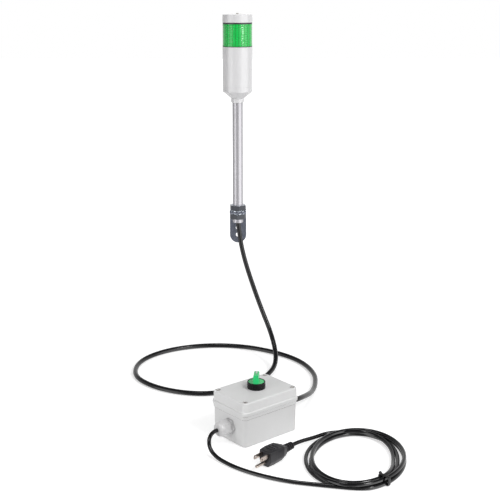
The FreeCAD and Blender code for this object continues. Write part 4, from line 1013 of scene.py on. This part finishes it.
@dataclass
class Cords:
    """The lamp cable, and the mains cord with its oval coil."""

    plug: Piece
    plug_end: Vector
    plug_forward: Vector
    lamp_diameter: float = 9.0 * MM
    mains_diameter: float = 6.5 * MM
    lamp_length: float = 1.39
    mains_length: float = 2.23
    coil_centre: tuple[float, float] = (184.0, -522.8)
    coil_half_length: float = 103.5
    coil_half_width: float = 79.6
    coil_turn: float = 75.7
    coil_run: tuple[float, float] = (0.06, 3.56)
    pole_exit: Point = (2.4, 0.0, -20.0)
    far_straight: float = 18.0 * MM
    near_straight: float = 9.0 * MM
    plug_straight: float = 16.0 * MM
    coil_points_per_turn: int = 20
    coil_knots: tuple[Point, ...] = (
        *((0.06, 4.0, 3.4), (0.25, 3.6, 3.3), (0.75, 3.6, 3.3), (0.98, 10.4, 3.3), (1.15, 10.2, 3.3)),
        *((1.27, 14.4, 3.3), (1.50, 10.4, 3.3), (1.75, 14.4, 3.3), (1.95, 7.2, 8.9), (2.15, 7.0, 8.9)),
        *((2.27, 3.6, 9.8), (2.50, 7.0, 9.0), (2.75, 14.4, 9.8), (2.97, 13.4, 8.9), (3.15, 13.3, 8.9)),
        *((3.27, 22.0, 3.4), (3.50, 13.4, 9.0), (3.56, 12.5, 8.6)),
    )
    lamp_route: tuple[Point, ...] = (
        *((8.5, -23.5, 203.0), (22.0, -34.0, 158.0), (43.5, -53.0, 100.0), (68.5, -82.0, 44.0)),
        *((75.5, -136.0, 12.0), (52.5, -191.0, 4.5), (13.0, -240.0, 4.5), (-46.0, -270.0, 4.5)),
        *((-104.0, -262.0, 4.5), (-156.0, -232.0, 4.5), (-194.0, -180.0, 4.5), (-192.0, -104.0, 4.5)),
        *((-146.0, -45.0, 4.5), (-72.0, -14.0, 4.5), (6.0, -19.0, 4.5), (72.0, -53.0, 4.5)),
        *((122.0, -103.0, 4.5), (145.5, -170.0, 4.5), (142.5, -226.0, 4.5), (134.0, -266.0, 7.5)),
        (124.0, -300.0, 16.0),
    )
    lead_route: tuple[Point, ...] = (
        *((-41.0, -490.0, 21.3), (-39.0, -503.5, 11.2), (-28.5, -518.0, 4.5), (-14.0, -534.5, 3.25)),
        *((5.0, -553.5, 3.25), (36.5, -575.5, 3.25), (80.0, -596.0, 3.25), (127.5, -606.5, 3.25)),
    )
    tail_route: tuple[Point, ...] = ((148.5, -435.5, 6.5), (126.5, -452.5, 6.5))

    def lay_lamp_cable(self) -> None:
        """Lay the cable from the pole's end, round its open loop and up to the far gland."""
        pole = Span.of("pole")
        start = Vector((pole.centre.x, pole.centre.y, pole.low.z))
        mouth = BOX_PLACE.gland_mouth("lamp_cord_entry", 1)
        head = np.array([start, start + Vector(self.pole_exit) * MM])
        end = np.array([mouth + BOX_PLACE.along * self.far_straight, mouth])
        cable = CordCurve("cable_to_lamp", self.lamp_diameter, CABLE_JACKET)
        cord = cable.lay(np.concatenate([head, on_floor(self.lamp_route), end]))
        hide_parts("lamp_cable")

    def coil_points(self) -> np.ndarray:
        """Control points of the coil's turns.

        Seen from above the cord goes round an oval from the side where it comes in. The strands of
        the first two turns lie on the floor and the later ones on top of them. They are tight beside
        the tie and spread where the oval runs away from it: inset and height above the floor are
        given at places on the turns and run evenly between them.

        Returns:
            Points in metres.
        """
        first, last = self.coil_run
        progress = np.linspace(first, last, round((last - first) * self.coil_points_per_turn))
        angle = math.pi + FULL_TURN * progress
        knots = np.array(self.coil_knots)
        inset = np.interp(progress, knots[:, 0], knots[:, 1])
        lift = np.interp(progress, knots[:, 0], knots[:, 2])
        along = (self.coil_half_length - inset) * np.cos(angle)
        across = (self.coil_half_width - inset) * np.sin(angle)
        turn = heading(self.coil_turn)
        x = self.coil_centre[0] + along * turn.x - across * turn.y
        y = self.coil_centre[1] + along * turn.y + across * turn.x
        return on_floor(np.stack([x, y, lift], -1))

    def lay_mains_cord(self) -> None:
        """Lay the mains cord from the near gland through its coil to the plug."""
        mouth = BOX_PLACE.gland_mouth("power_cord_entry", -1)
        head = np.array([mouth, mouth - BOX_PLACE.along * self.near_straight])
        last = np.array([self.plug_end - self.plug_forward * self.plug_straight, self.plug_end])
        middle = [on_floor(self.lead_route), self.coil_points(), on_floor(self.tail_route)]
        cord = CordCurve("mains_cord", self.mains_diameter, CORD_JACKET, 10)
        piece = cord.lay(np.concatenate([head, *middle, last]))
        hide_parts("power_cord_lead", "power_cord_coil", "power_cord_tail")


@dataclass
class TwistTie:
    """Coated wire that is wound twice round the coil's strands, with its ends twisted together.

    The two ends run round each other just over the wire's radius apart, part again over the last
    quarter of their length, and rise with the sine of their share of it.
    """

    wire: float = 1.25 * MM
    half_width: float = 9.6 * MM
    height: float = 14.0 * MM
    inset: float = 8.5 * MM
    angle: float = -132.0
    wind: float = 0.9
    knot_inset: float = 3.0 * MM
    knot_drop: float = 1.0 * MM
    twist_turns: float = 1.5
    twist_length: float = 3.5 * MM

    def build(self, cords: Cords) -> None:
        """Make the tie.

        Args:
            cords: The cords, which know where the coil runs.
        """
        length, width = cords.coil_half_length * MM - self.inset, cords.coil_half_width * MM - self.inset
        place = heading(self.angle)
        about = Matrix.Rotation(math.radians(cords.coil_turn), 3, "Z")
        spot = about @ Vector((length * place.x, width * place.y, 0))
        strand = about @ Vector((-length * place.y, width * place.x, 0)).normalized()
        middle = Vector((cords.coil_centre[0] * MM, cords.coil_centre[1] * MM, FLOOR))
        axis = Axis(middle + spot, strand, strand.cross(UP))
        lower = [(side * self.half_width, self.wire, 3.4) for side in (-1, 1)]
        upper = [(side * self.half_width, self.height, 4.0) for side in (1, -1)]
        loop = evenly(profile(*lower, *upper, steps=9), 72)
        parts = []
        for shift in (-self.wind * self.wire, self.wind * self.wire):
            line = axis.place(np.full(len(loop), shift), loop[:, 0], -loop[:, 1])
            parts.append(swept(line, self.wire, strand, True))
        share = np.linspace(0, 1, 60)
        inner = -1.0 if axis.side.dot(spot) > 0 else 1.0
        for phase in (0.0, math.pi):
            swing = phase + FULL_TURN * self.twist_turns * share
            reach = self.wire * (1.05 + 0.9 * np.maximum(0, share - 0.75))
            along = reach * np.cos(swing)
            out = inner * (self.half_width - self.knot_inset + self.twist_length * share * 0.55)
            rise = 2.5 * MM * np.sin(share * 2.2)
            up = self.height - self.knot_drop + rise + reach * np.sin(swing)
            parts.append(swept(axis.place(along, out, -up), self.wire, axis.side, False))
        add_piece("twisted_tie", "twist_tie", parts, TIE_COAT, 60.0)


# ---- Tower ----
@dataclass
class PoleMount:
    """Pole with its nuts."""

    wall: float = 2.0 * MM
    slip: float = 0.05 * MM
    nut_flats: float = 29.0 * MM
    nut_drop: float = 0.992 * MM
    nut_rim: float = 0.5 * MM
    nut_face: float = 0.4 * MM
    nut_turns: tuple[tuple[str, float], ...] = (("upper_nut", 37.0), ("lower_nut", 26.0))

    def build(self) -> None:
        """Make the pole and the nuts."""
        span = Span.of("pole")
        outline = tube_profile(span.radius - self.wall, span.radius, span.low.z, span.high.z)
        surface = turned(outline, Axis.through("pole"), 128)
        finish = TurnedMetal("satin_aluminium", (0.47, 0.46, 0.485), 0.2, axis=tuple(span.centre))
        add_piece("brushed_pole", "pole", [surface], finish)
        for node, turn in self.nut_turns:
            self.make_nut(node, turn)

    def make_nut(self, node: str, turn: float) -> None:
        """Make one hexagon nut: its radius is the smaller of the hexagon's and the chamfer cone's.

        Args:
            node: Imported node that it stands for.
            turn: Angle of a corner in degrees.
        """
        span = Span.of(node)
        low, high = span.low.z, span.high.z
        bore = Span.of("pole").radius + self.slip
        corner = self.nut_flats / math.sqrt(3)
        flat = self.nut_flats / 2
        share = np.linspace(0, 1, 6)
        chamfer = rows(flat + (corner - flat) * share, self.nut_drop * share)
        side = np.linspace(low + self.nut_drop, high - self.nut_drop, 12)[1:-1]
        face = flat - self.nut_face
        rim = self.nut_rim
        outline = np.vstack(
            [
                [(bore + rim, low), (face, low)],
                chamfer + (0, low),
                rows(corner, side),
                chamfer[::-1] * (1, -1) + (0, high),
                [(face, high), (bore + rim, high), (bore, high - rim), (bore, low + rim)],
            ]
        )
        surface = turned(outline, Axis.through("pole", turn), 144, within_hexagon(self.nut_flats))
        add_piece("hexagon_" + node, node, [surface], NUT_STEEL, 20.0)


@dataclass
class TowerHead:
    """Base, housing, lens, seals and cap of the tower."""

    collar_radius: float = 12.5 * MM
    collar_height: float = 7.1 * MM
    cone_foot_radius: float = 11.7 * MM
    cone_height: float = 13.4 * MM
    band_height: float = 8.9 * MM
    wall: float = 2.1 * MM
    slip: float = 0.1 * MM
    shelf_width: float = 6.0 * MM
    shelf_slope: float = 3.0 * MM
    shelf_thickness: float = 2.0 * MM
    lens_wall: float = 2.6 * MM
    lens_radius: float = 27.7 * MM
    flange_height: float = 2.4 * MM
    rings: int = 11
    ring_depth: float = 0.5 * MM
    ring_steps: int = 14
    rim_height: float = 1.2 * MM
    flutes: int = 30
    flute_depth: float = 0.7 * MM
    cap_dome: float = 1.3 * MM
    cap_roof: float = 2.4 * MM
    cap_fillet: float = 1.6 * MM
    cap_locator: float = 2.0 * MM
    cap_hole: float = 1.6 * MM
    boss_radius: float = 2.0 * MM
    screw_sink: float = 0.3 * MM

    def build(self) -> None:
        """Make the head's pieces from the base up."""
        white = (WHITE_PLASTIC, Slot.WHITE_PLASTIC)
        soft = (SEAL_RUBBER, Slot.BLACK_RUBBER)
        self.make_ring("tower_base", "pole_base", self.base_outline(), *white)
        self.make_ring("driver_shell", "body_housing", self.housing_outline(), *white)
        self.make_ring("soft_lower_seal", "lower_seal", self.seal_outline("lower_seal"), *soft)
        self.make_lens()
        self.make_ring("soft_upper_seal", "upper_seal", self.seal_outline("upper_seal"), *soft)
        self.make_ring("domed_cap", "top_cap", self.cap_outline(), *white, 40.0)

    @staticmethod
    def make_ring(
        name: str, node: str, outline: np.ndarray, finish: Finish, slot: Slot, sharp: float = 35.0
    ) -> None:
        """Add one piece turned about the pole.

        Args:
            name: The piece's name.
            node: The node it stands for.
            outline: Its outline, radius and height.
            finish: Its finish.
            slot: Its material slot; not used.
            sharp: Edges over this many degrees stay sharp.
        """
        add_piece(name, node, [turned(outline, Axis.through("pole"), 192)], finish, sharp)

    def make_lens(self) -> None:
        """Add the lens, ringed outside and fluted inside."""
        axis = Axis.through("pole")
        clear = FlutedLens("green_clear_moulding", (0.001, 0.62, 0.09), axis=tuple(axis.start), flutes=self.flutes)
        surface = turned(self.lens_outline(), axis, self.flutes * 12, self.fluted)
        add_piece("ringed_lens", "lens", [surface], clear, 30.0)

    def base_outline(self) -> np.ndarray:
        """Collar, cone and band, with the pole's socket and the spigot inside."""
        span = Span.of("pole_base")
        pole = Span.of("pole")
        radius, low, high = span.radius, span.low.z, span.high.z
        socket = pole.radius + self.slip / 2
        cone_low = low + self.collar_height
        cone_high = cone_low + self.cone_height
        top = cone_high + self.band_height
        spigot = radius - self.wall - self.slip
        bore = spigot - self.wall
        sleeve = socket + self.wall
        slope = self.cone_height / (radius - self.cone_foot_radius)
        inside = cone_low + 1.6 * self.wall
        return profile(
            (socket, low, 0.3),
            (self.collar_radius, low, 0.6),
            (self.collar_radius, cone_low, 0.6),
            (self.cone_foot_radius, cone_low, 0.2),
            (radius, cone_high, 1.2),
            (radius, top, 0.35),
            (spigot, top, 0.05),
            (spigot, high, 0.4),
            (bore, high, 0.4),
            (bore, inside + slope * (bore - self.cone_foot_radius), 0.5),
            (sleeve, inside + slope * (sleeve - self.cone_foot_radius), 0.5),
            (sleeve, pole.high.z + self.wall, 0.3),
            (socket - self.wall, pole.high.z + self.wall, 0.3),
            (socket - self.wall, pole.high.z, 0.1),
            (socket, pole.high.z, 0.1),
        )

    def housing_outline(self) -> np.ndarray:
        """Long plain shell with its inner shelf."""
        span = Span.of("body_housing")
        radius, low, high = span.radius, span.low.z, span.high.z
        bore = radius - self.wall
        shelf = bore - self.shelf_width
        under = high - self.shelf_thickness
        return profile(
            (bore, low, 0.1),
            (radius, low, 0.35),
            (radius, high, 0.35),
            (shelf, high, 0.3),
            (shelf, under, 0.3),
            (bore, under - self.shelf_slope, 0.3),
        )

    def seal_outline(self, node: str) -> np.ndarray:
        """Flat ring between the seal's own rim and the lens's bore."""
        span = Span.of(node)
        return tube_profile(self.lens_radius - self.lens_wall, span.radius, span.low.z, span.high.z)

    def lens_outline(self) -> np.ndarray:
        """Clear cylinder with a flange at its foot.

        Outside, its radius swells by the ring depth times |sin| of the height counted in rings.

        Returns:
            The outline.
        """
        span = Span.of("lens")
        low, high = span.low.z, span.high.z
        inner = self.lens_radius - self.lens_wall
        ring_low = low + self.flange_height
        ring_high = high - self.rim_height
        share = np.linspace(0, 1, self.ring_steps * self.rings + 1)
        swell = self.lens_radius - self.ring_depth * (1 - np.abs(np.sin(math.pi * self.rings * share)))
        flange = ((span.radius, low, 0.3), (span.radius, ring_low, 0.4))
        foot = profile((inner, low, 0.2), *flange, (inner, ring_low, 0.0001))
        return np.vstack(
            [
                foot[:-5],
                rows(swell, ring_low + (ring_high - ring_low) * share),
                [(self.lens_radius, ring_high + 0.2 * MM), (self.lens_radius, high), (inner, high)],
                rows(inner, np.linspace(high, low + 0.4 * MM, 6)[1:]),
            ]
        )

    def fluted(self, angle: np.ndarray, radius: np.ndarray) -> np.ndarray:
        """Move the lens's inner points out by the flute depth times |sin| of the angle in flutes."""
        grown = radius + self.flute_depth * np.abs(np.sin(angle * self.flutes / 2))
        return np.where(radius < self.lens_radius - self.lens_wall + self.slip, grown, radius)

    def cap_outline(self) -> np.ndarray:
        """Low dome that is an arc through its rim and crown, over a plain skirt."""
        span = Span.of("top_cap")
        radius, crown = span.radius, span.high.z
        skirt = Span.of("upper_seal").high.z
        skirt_low = skirt - self.cap_locator
        shoulder = crown - self.cap_dome
        roof = shoulder - self.cap_roof
        boss = self.boss_radius + self.wall
        cavity = radius - 2 * self.wall
        locator = self.lens_radius - self.lens_wall - self.slip
        across = np.linspace(radius - self.cap_fillet, self.cap_hole, 24)
        ball = (radius**2 + self.cap_dome**2) / (2 * self.cap_dome)
        arc = crown - ball + np.sqrt(ball**2 - across**2)
        arc = np.where(across < Span.of("cap_screw").radius + self.slip, crown - self.screw_sink, arc)
        lower = profile(
            (self.cap_hole, span.low.z, 0.1),
            (boss, span.low.z, 0.3),
            (boss, roof, 0.5),
            (cavity, roof, 0.8),
            (cavity, skirt_low, 0.3),
            (locator, skirt_low, 0.3),
            (locator, skirt, 0.1),
            (radius, skirt, 0.35),
            (radius, shoulder + 0.08 * MM, 0.9),
            (self.cap_hole, shoulder + 0.4 * MM, 0.01),
        )
        return np.vstack([lower[:-5], rows(across, arc)])


# ---- Switch box ----
@dataclass
class SelectorSwitch:
    """Bezel and knob of the selector switch on the box's lid."""

    bezel_lip: float = 1.8 * MM
    bezel_groove: float = 0.6 * MM
    bezel_groove_height: float = 1.2 * MM
    groove_share: float = 0.52
    barrel_radius: float = 11.0 * MM
    bore_radius: float = 8.06 * MM
    shaft_radius: float = 8.0 * MM
    disc_depth: float = 3.5 * MM
    disc_thickness: float = 3.0 * MM
    disc_slip: float = 0.1 * MM
    knob_gap: float = 0.3 * MM
    lever_heading: float = 85.1
    lever_width: float = 8.5 * MM
    lever_setback: float = 4.0 * MM
    lever_edge: float = 1.2 * MM
    lever_sink: float = 0.5 * MM
    pointer_width: float = 2.6 * MM
    pointer_inset: float = 2.4 * MM
    pointer_length: float = 9.0 * MM
    pointer_levels: tuple[float, ...] = (-1.2, -1.2, 0.0, 0.1, 0.1)
    pointer_shares: tuple[float, ...] = (0.0, 1.0, 1.0, 0.94, 0.0)
    cam_rise: float = 0.3074

    def make_bezel(self) -> None:
        """Make the black bezel with its grooved side, barrel and guide bore."""
        span = Span.of("switch_bezel")
        outer, low, top = span.radius, span.low.z, span.high.z
        base = Span.of("bezel_seal").high.z
        groove = base + self.groove_share * (top - base)
        groove_top = groove + self.bezel_groove_height
        floor = top - self.disc_depth
        outline = profile(
            (self.bore_radius, low, 0.2),
            (self.barrel_radius, low, 0.5),
            (self.barrel_radius, base, 0.1),
            (outer, base, 0.6),
            (outer, groove, 0.25),
            (outer - self.bezel_groove, groove, 0.1),
            (outer - self.bezel_groove, groove_top, 0.1),
            (outer - 0.2 * MM, groove_top, 0.25),
            (outer - 0.3 * MM, top, 1.4),
            (outer - self.bezel_lip, top, 0.3),
            (outer - self.bezel_lip, floor, 0.1),
            (self.bore_radius, floor, 0.1),
        )
        surface = turned(outline, Axis.through("switch_bezel"), 144)
        add_piece("grooved_bezel", "switch_bezel", [surface], BLACK_PLASTIC)

    @property
    def axis(self) -> Axis:
        """The knob's axis, whose side points along the lever."""
        return Axis.through("switch_bezel", self.lever_heading)

    @property
    def radius(self) -> float:
        """Radius of the knob's disc."""
        return Span.of("switch_bezel").radius - self.bezel_lip - self.knob_gap

    @property
    def disc_low(self) -> float:
        """Height of the disc's underside."""
        return Span.of("switch_bezel").high.z - self.disc_depth + self.disc_slip

    def make_knob(self) -> None:
        """Make the knob with its lever, and the white pointer on the lever's far end."""
        turning = Body.SELECTOR
        parts = [self.disc(), self.lever()]
        add_piece("lever_knob", "selector_knob", parts, KNOB_PLASTIC, 50.0, turning)
        parts = [self.pointer()]
        add_piece("white_pointer", "knob_marker", parts, MARKER_PLASTIC, 30.0, turning)

    def pointer(self) -> Surface:
        """Rounded bar along the lever's top, a stack of level outlines that close to their middle."""
        half = self.pointer_width / 2
        far = self.radius - self.pointer_inset
        near = far - self.pointer_length
        outline = profile((near, -half, 0.4), (far, -half, 0.4), (far, half, 0.4), (near, half, 0.4))
        middle = outline.mean(axis=0)
        stack = middle + (outline - middle)[None] * np.array(self.pointer_shares)[:, None, None]
        level = Span.of("selector_knob").high.z + np.array(self.pointer_levels) * MM
        height = np.repeat(level[:, None], len(outline), axis=1)
        points = self.axis.place(height, stack[..., 0], stack[..., 1])
        return points, grid_quads(len(level), len(outline), False)

    def disc(self) -> Surface:
        """Disc and shaft, with the slanted cam face at the shaft's lower end.

        The cam face's height is the lowest one plus its rise times the distance from the lowest side.

        Returns:
            Points and quads.
        """
        axis, radius, shaft = self.axis, self.radius, self.shaft_radius
        low, base = Span.of("selector_knob").low.z, self.disc_low
        top = base + self.disc_thickness
        foot = ((0.0, low, 0.0), (shaft, low, 0.0), (shaft, base, 0.1))
        outline = profile(*foot, (radius, base, 0.3), (radius, top, 0.5), (0.0, top, 0.0))
        points, quads = turned(outline, axis)
        third = np.array(axis.direction.cross(axis.side))
        distance = (points - np.array(axis.start)) @ third
        slanted = low + self.cam_rise * (shaft + distance)
        points[:, 2] = np.where(points[:, 2] < low + 0.01 * MM, slanted, points[:, 2])
        return points, quads

    def lever(self) -> Surface:
        """Upright lever across the disc, a stack of level outlines.

        Its ends follow the disc's rim, but the near end leans back by the setback over its height.
        Near the top each outline is drawn in by the edge radius times 1 - cos while it rises with
        sin, and the last ones close over the top.

        Returns:
            Points and quads.
        """
        base = self.disc_low + self.disc_thickness - self.lever_sink
        top = Span.of("selector_knob").high.z
        radius, half, edge = self.radius, self.lever_width / 2, self.lever_edge
        swing = np.linspace(0, math.pi / 2, 7)[1:]
        closing = np.linspace(edge, half, 5)[1:]
        sides = np.linspace(base, top - edge, 12)
        level = np.r_[base, sides, top - edge + edge * np.sin(swing), np.full(len(closing), top)][:, None]
        inset = np.r_[half, np.zeros(len(sides)), edge * (1 - np.cos(swing)), closing][:, None]
        sweep = np.linspace(-1, 1, 14)
        run = np.linspace(-1, 1, 16)[1:-1]
        ones = np.ones(14)
        across = np.r_[sweep, ones, sweep[::-1], -ones][None, :] * (half - inset)
        rim = np.sqrt(radius**2 - across**2)
        far = rim - inset
        near = np.maximum(-rim, -radius + self.lever_setback * (level - base) / (top - base)) + inset
        share = np.r_[ones, -run, -ones, run][None, :]
        along = near + (far - near) * (share + 1) / 2
        height = np.repeat(level, across.shape[1], axis=1)
        return self.axis.place(height, along, across), grid_quads(len(level), across.shape[1], False)


@dataclass
class CableGland:
    """One gland: flange on the wall and hexagonal cap that runs into a dome."""

    name: str
    side: int
    cord_radius: float
    flange_length: float = 5.5 * MM
    flange_chamfer: float = 1.6 * MM
    cap_length: float = 14.0 * MM
    dome_length: float = 7.0 * MM
    dome_start: float = 0.8 * MM
    flats: float = 23.0 * MM
    mouth_radius: float = 7.25 * MM
    stem_radius: float = 8.0 * MM
    bore_radius: float = 5.5 * MM
    inner_length: float = 11.0 * MM
    slip: float = 0.05 * MM
    cap_turn: float = 12.0
    flange_turn: float = 26.0

    def build(self) -> None:
        """Make the flange piece and the cap."""
        start = BOX_PLACE.gland_seat(f"{self.name}_cord_entry", self.side)
        axis = Axis(start, BOX_PLACE.along * self.side, UP)
        parts = (
            ("flange", "body", self.flange_outline(), self.flange_turn),
            ("nose", "cap", self.cap_outline(), self.cap_turn),
        )
        for name, node, outline, turn in parts:
            surface = turned(outline, axis, 180, within_hexagon(self.flats, turn))
            gland = self.name + "_gland_"
            add_piece(gland + name, gland + node, [surface], GLAND_NYLON, 25.0)

    def flange_outline(self) -> np.ndarray:
        """Hexagonal flange with its stems on both sides of the wall."""
        stem, bore = self.stem_radius, self.bore_radius
        top = self.flange_length
        face = top - 0.5 * MM
        clamp = top + 0.7 * self.cap_length
        corner = self.flats / math.sqrt(3)
        return profile(
            (bore, -self.inner_length, 0.2),
            (stem, -self.inner_length, 0.6),
            (stem, 0, 0.1),
            (corner - 0.6 * MM, 0, 0.2),
            (corner, 0.6 * MM, 0.2),
            (corner, top - self.flange_chamfer, 0.3),
            (corner - self.flange_chamfer, face, 0.3),
            (stem + 1.0 * MM, face, 0.1),
            (stem + 1.0 * MM, top, 0.05),
            (stem, top, 0.05),
            (stem, clamp, 0.3),
            (bore, clamp, 0.2),
        )

    def cap_outline(self) -> np.ndarray:
        """Cap's outline, which goes outside the hexagon up to the shoulder and then along the dome."""
        low = self.flange_length
        foot = low + 0.4 * MM
        shoulder = low + self.cap_length
        mouth = shoulder + self.dome_length
        corner = self.flats / math.sqrt(3)
        flat = self.flats / 2
        hold = self.stem_radius + self.slip
        bore = self.cord_radius + self.slip
        swing = np.linspace(0, math.pi / 2, 16)
        dome_radius = self.mouth_radius + (flat + 0.2 * MM - self.mouth_radius) * np.cos(swing) ** 0.8
        dome_low = shoulder + self.dome_start
        return np.vstack(
            [
                [(hold, low), (flat - 1.2 * MM, low), (flat - 1.2 * MM, foot), (corner - 1.0 * MM, foot)],
                rows(corner, np.linspace(low + 0.9 * MM, shoulder - 1.0 * MM, 14)),
                [(corner - 0.5 * MM, shoulder)],
                rows(dome_radius, dome_low + (mouth - dome_low) * np.sin(swing)),
                [(bore, mouth), (bore, shoulder), (hold, shoulder)],
            ]
        )


# ---- Plug ----
@dataclass
class MainsPlug:
    """Moulded plug with its ribbed strain relief and prongs."""

    face: tuple[float, float] = (46.0, -541.0)
    turn: float = 228.3
    length: float = 45.0 * MM
    stations: tuple[float, ...] = (0.0, 0.288, 0.72, 1.0)
    widths: tuple[float, ...] = (23.2, 25.0, 24.0, 15.0)
    tops: tuple[float, ...] = (25.4, 26.0, 25.0, 20.0)
    lows: tuple[float, ...] = (0.0, 0.0, 0.0, 3.0)
    keels: tuple[float, ...] = (12.0, 14.0, 12.0, 9.0)
    waist: float = 0.36
    edge: float = 1.2 * MM
    grips: Point = (9.7, 16.2, 22.7)
    grip_width: float = 2.0 * MM
    grip_length: float = 12.5 * MM
    grip_depth: float = 1.4 * MM
    grip_slope: float = 0.5 * MM
    axis_height: float = 12.5 * MM
    relief_length: float = 18.5 * MM
    relief_sink: float = 2.0 * MM
    relief_root: float = 6.75 * MM
    relief_tip: float = 6.0 * MM
    ribs: int = 4
    rib_depth: float = 2.1 * MM
    rib_gap: float = 0.4

    @property
    def forward(self) -> Vector:
        """Direction in which the prongs point."""
        return heading(self.turn)

    @property
    def rear(self) -> Vector:
        """Centre of the body's rear end."""
        face = Vector((self.face[0] * MM, self.face[1] * MM, FLOOR + self.axis_height))
        return face - self.forward * self.length

    @property
    def cord_end(self) -> Vector:
        """End of the strain relief, where the cord goes in."""
        return self.rear - self.forward * self.relief_length

    def build(self) -> Piece:
        """Make the moulding and dress the prongs.

        Returns:
            The moulding.
        """
        parts = [self.body(), self.relief()]
        moulding = add_piece("vinyl_plug", "plug_body", parts, PLUG_PLASTIC, 40.0)
        dress("flat_blades", PRONG_BRASS, 0.15 * MM)
        dress("ground_pin", PRONG_BRASS, 0.0)
        return moulding

    def body(self) -> Surface:
        """Loft of rounded sections along the plug, with grip grooves across its top.

        Width, top, underside and keel run evenly between the stations. Each section has a narrow
        keel, full width from the waist upwards, and a flat top with rounded edges.

        Returns:
            Points and quads.
        """
        share = np.linspace(0, 1, 92)[:, None]
        half, top, low, keel = (
            np.interp(share, self.stations, sizes) * MM for sizes in (self.widths, self.tops, self.lows, self.keels)
        )
        right = ((0.5, 0.0, 0.12), (1.0, self.waist, 0.10), (1.0, 1.0, 0.16))
        left = [(-across, height, setback) for across, height, setback in right]
        unit = evenly(profile(left[0], *right, *left[:0:-1], steps=7, unit=1.0), 120)
        lowness = np.clip(1 - unit[:, 1] / self.waist, 0, 1)
        width = half / 2 * (1 - lowness) + keel / 2 * lowness
        across = np.clip(unit[:, 0] / (1 - 0.5 * lowness), -1, 1) * width
        height = low + unit[:, 1] * (top - low)
        edge = self.edge
        along = -edge - (self.length - 2 * edge) * np.repeat(share, len(unit), axis=1)
        for grip in self.grips:
            beside = 0.5 * (self.grip_width + self.grip_slope) - np.abs(along + grip * MM)
            within = 0.5 * (self.grip_length + self.grip_slope) - np.abs(across)
            dent = self.grip_depth * np.clip(beside / self.grip_slope, 0, 1) * np.clip(within / self.grip_slope, 0, 1)
            height = height - np.where(unit[:, 1] > 0.97, dent, 0.0)
        middle = 0.5 * (height.min(axis=1) + height.max(axis=1))
        shrink = np.array([0.0, 0.5, 0.90, 0.955, 0.985])[:, None]
        inward = np.array([0.0, 0.0, 0.0, 0.25, 0.62])[:, None] * edge

        def end(row: int, level: np.ndarray) -> np.ndarray:
            """Rows that close one end over its middle and round its edge."""
            tall = middle[row] + (height[row] - middle[row]) * shrink
            return np.stack([np.repeat(level, len(unit), axis=1), across[row] * shrink, tall])

        rear = end(-1, inward - self.length)[:, ::-1]
        grid = np.concatenate([end(0, -inward), np.stack([along, across, height]), rear], axis=1)
        face = Vector((self.face[0] * MM, self.face[1] * MM, FLOOR))
        axis = Axis(face, self.forward, UP.cross(self.forward))
        return axis.place(*grid), grid_quads(grid.shape[1], len(unit), False)

    def relief(self) -> Surface:
        """Tapered sleeve along the cord from the plug's rear, whose radius steps up at each rib.

        Returns:
            Points and quads.
        """
        pitch = self.relief_length / self.ribs
        corners = [(0.0, -self.relief_sink, 0.0)]
        for rib, radius in enumerate(np.linspace(self.relief_root, self.relief_tip, self.ribs)):
            low, neck = pitch * rib, radius - self.rib_depth
            corners.append((neck, low, 0.2) if rib else (neck, -self.relief_sink, 0.0))
            corners.append((neck, low + self.rib_gap * pitch, 0.3))
            corners.append((radius, low + self.rib_gap * pitch, 0.5))
            corners.append((radius, low + pitch, 0.5))
        corners.append((0.0, self.relief_length, 0.0))
        return turned(profile(*corners), Axis(self.rear, -self.forward, UP.cross(self.forward)), 72)


# ---- The whole part ----
DRESSED = (
    (BRACKET_COAT, 0.5, ("bracket",)),
    (ZINC_PLATE, 0.12, ("upper_tooth_washer", "lower_tooth_washer")),
    (SEAL_RUBBER, 0.0, ("pole_grommet",)),
    (CABLE_JACKET, 0.0, ("pole_cable", "lamp_cord_entry")),
    (STAINLESS, 0.15, ("cap_screw",)),
    (STAINLESS, 0.1, ("pole_set_screw", "tie_rod")),
    (BOX_PLASTIC, 0.4, ("box_base", "box_lid")),
    (STAINLESS, 0.2, ("lid_screws",)),
    (GLAND_NYLON, 0.3, ("power_gland_locknut", "lamp_gland_locknut")),
    (WHITE_PLASTIC, 0.2, ("led_column",)),
    (BOARD_RESIN, 0.1, ("led_boards", "driver_board")),
    (CHIP_RESIN, 0.15, ("led_chips",)),
    (PART_RESIN, 0.3, ("driver_capacitors", "driver_choke")),
    (TERMINAL_PLASTIC, 0.2, ("driver_terminal", "terminal_strip")),
    (CORD_JACKET, 0.0, ("lamp_cores", "inner_wires", "power_cord_entry")),
    (CONTACT_PLASTIC, 0.3, ("contact_block", "plunger")),
    (NICKEL_PLATE, 0.1, ("contact_screws", "terminal_screws")),
    (STAINLESS, 0.0, ("plunger_spring",)),
    (SEAL_RUBBER, 0.1, ("lid_gasket", "bezel_seal", "power_gland_seal", "lamp_gland_seal")),
    (BLACK_PLASTIC, 0.2, ("switch_nut",)),
)


def main() -> None:
    """Put up the studio, then make every piece in order."""
    logging.basicConfig(level=logging.INFO, format="%(name)s: %(message)s")
    Studio().build()
    plug = MainsPlug()
    cords = Cords(plug.build(), plug.cord_end, plug.forward)
    cords.lay_lamp_cable()
    cords.lay_mains_cord()
    TwistTie().build(cords)
    PoleMount().build()
    TowerHead().build()
    switch = SelectorSwitch()
    switch.make_bezel()
    switch.make_knob()
    CableGland("power", -1, 3.25 * MM).build()
    CableGland("lamp", 1, 4.5 * MM).build()
    for finish, edge, nodes in DRESSED:
        for node in nodes:
            dress(node, finish, edge * MM)


if __name__ == "__main__":
    main()
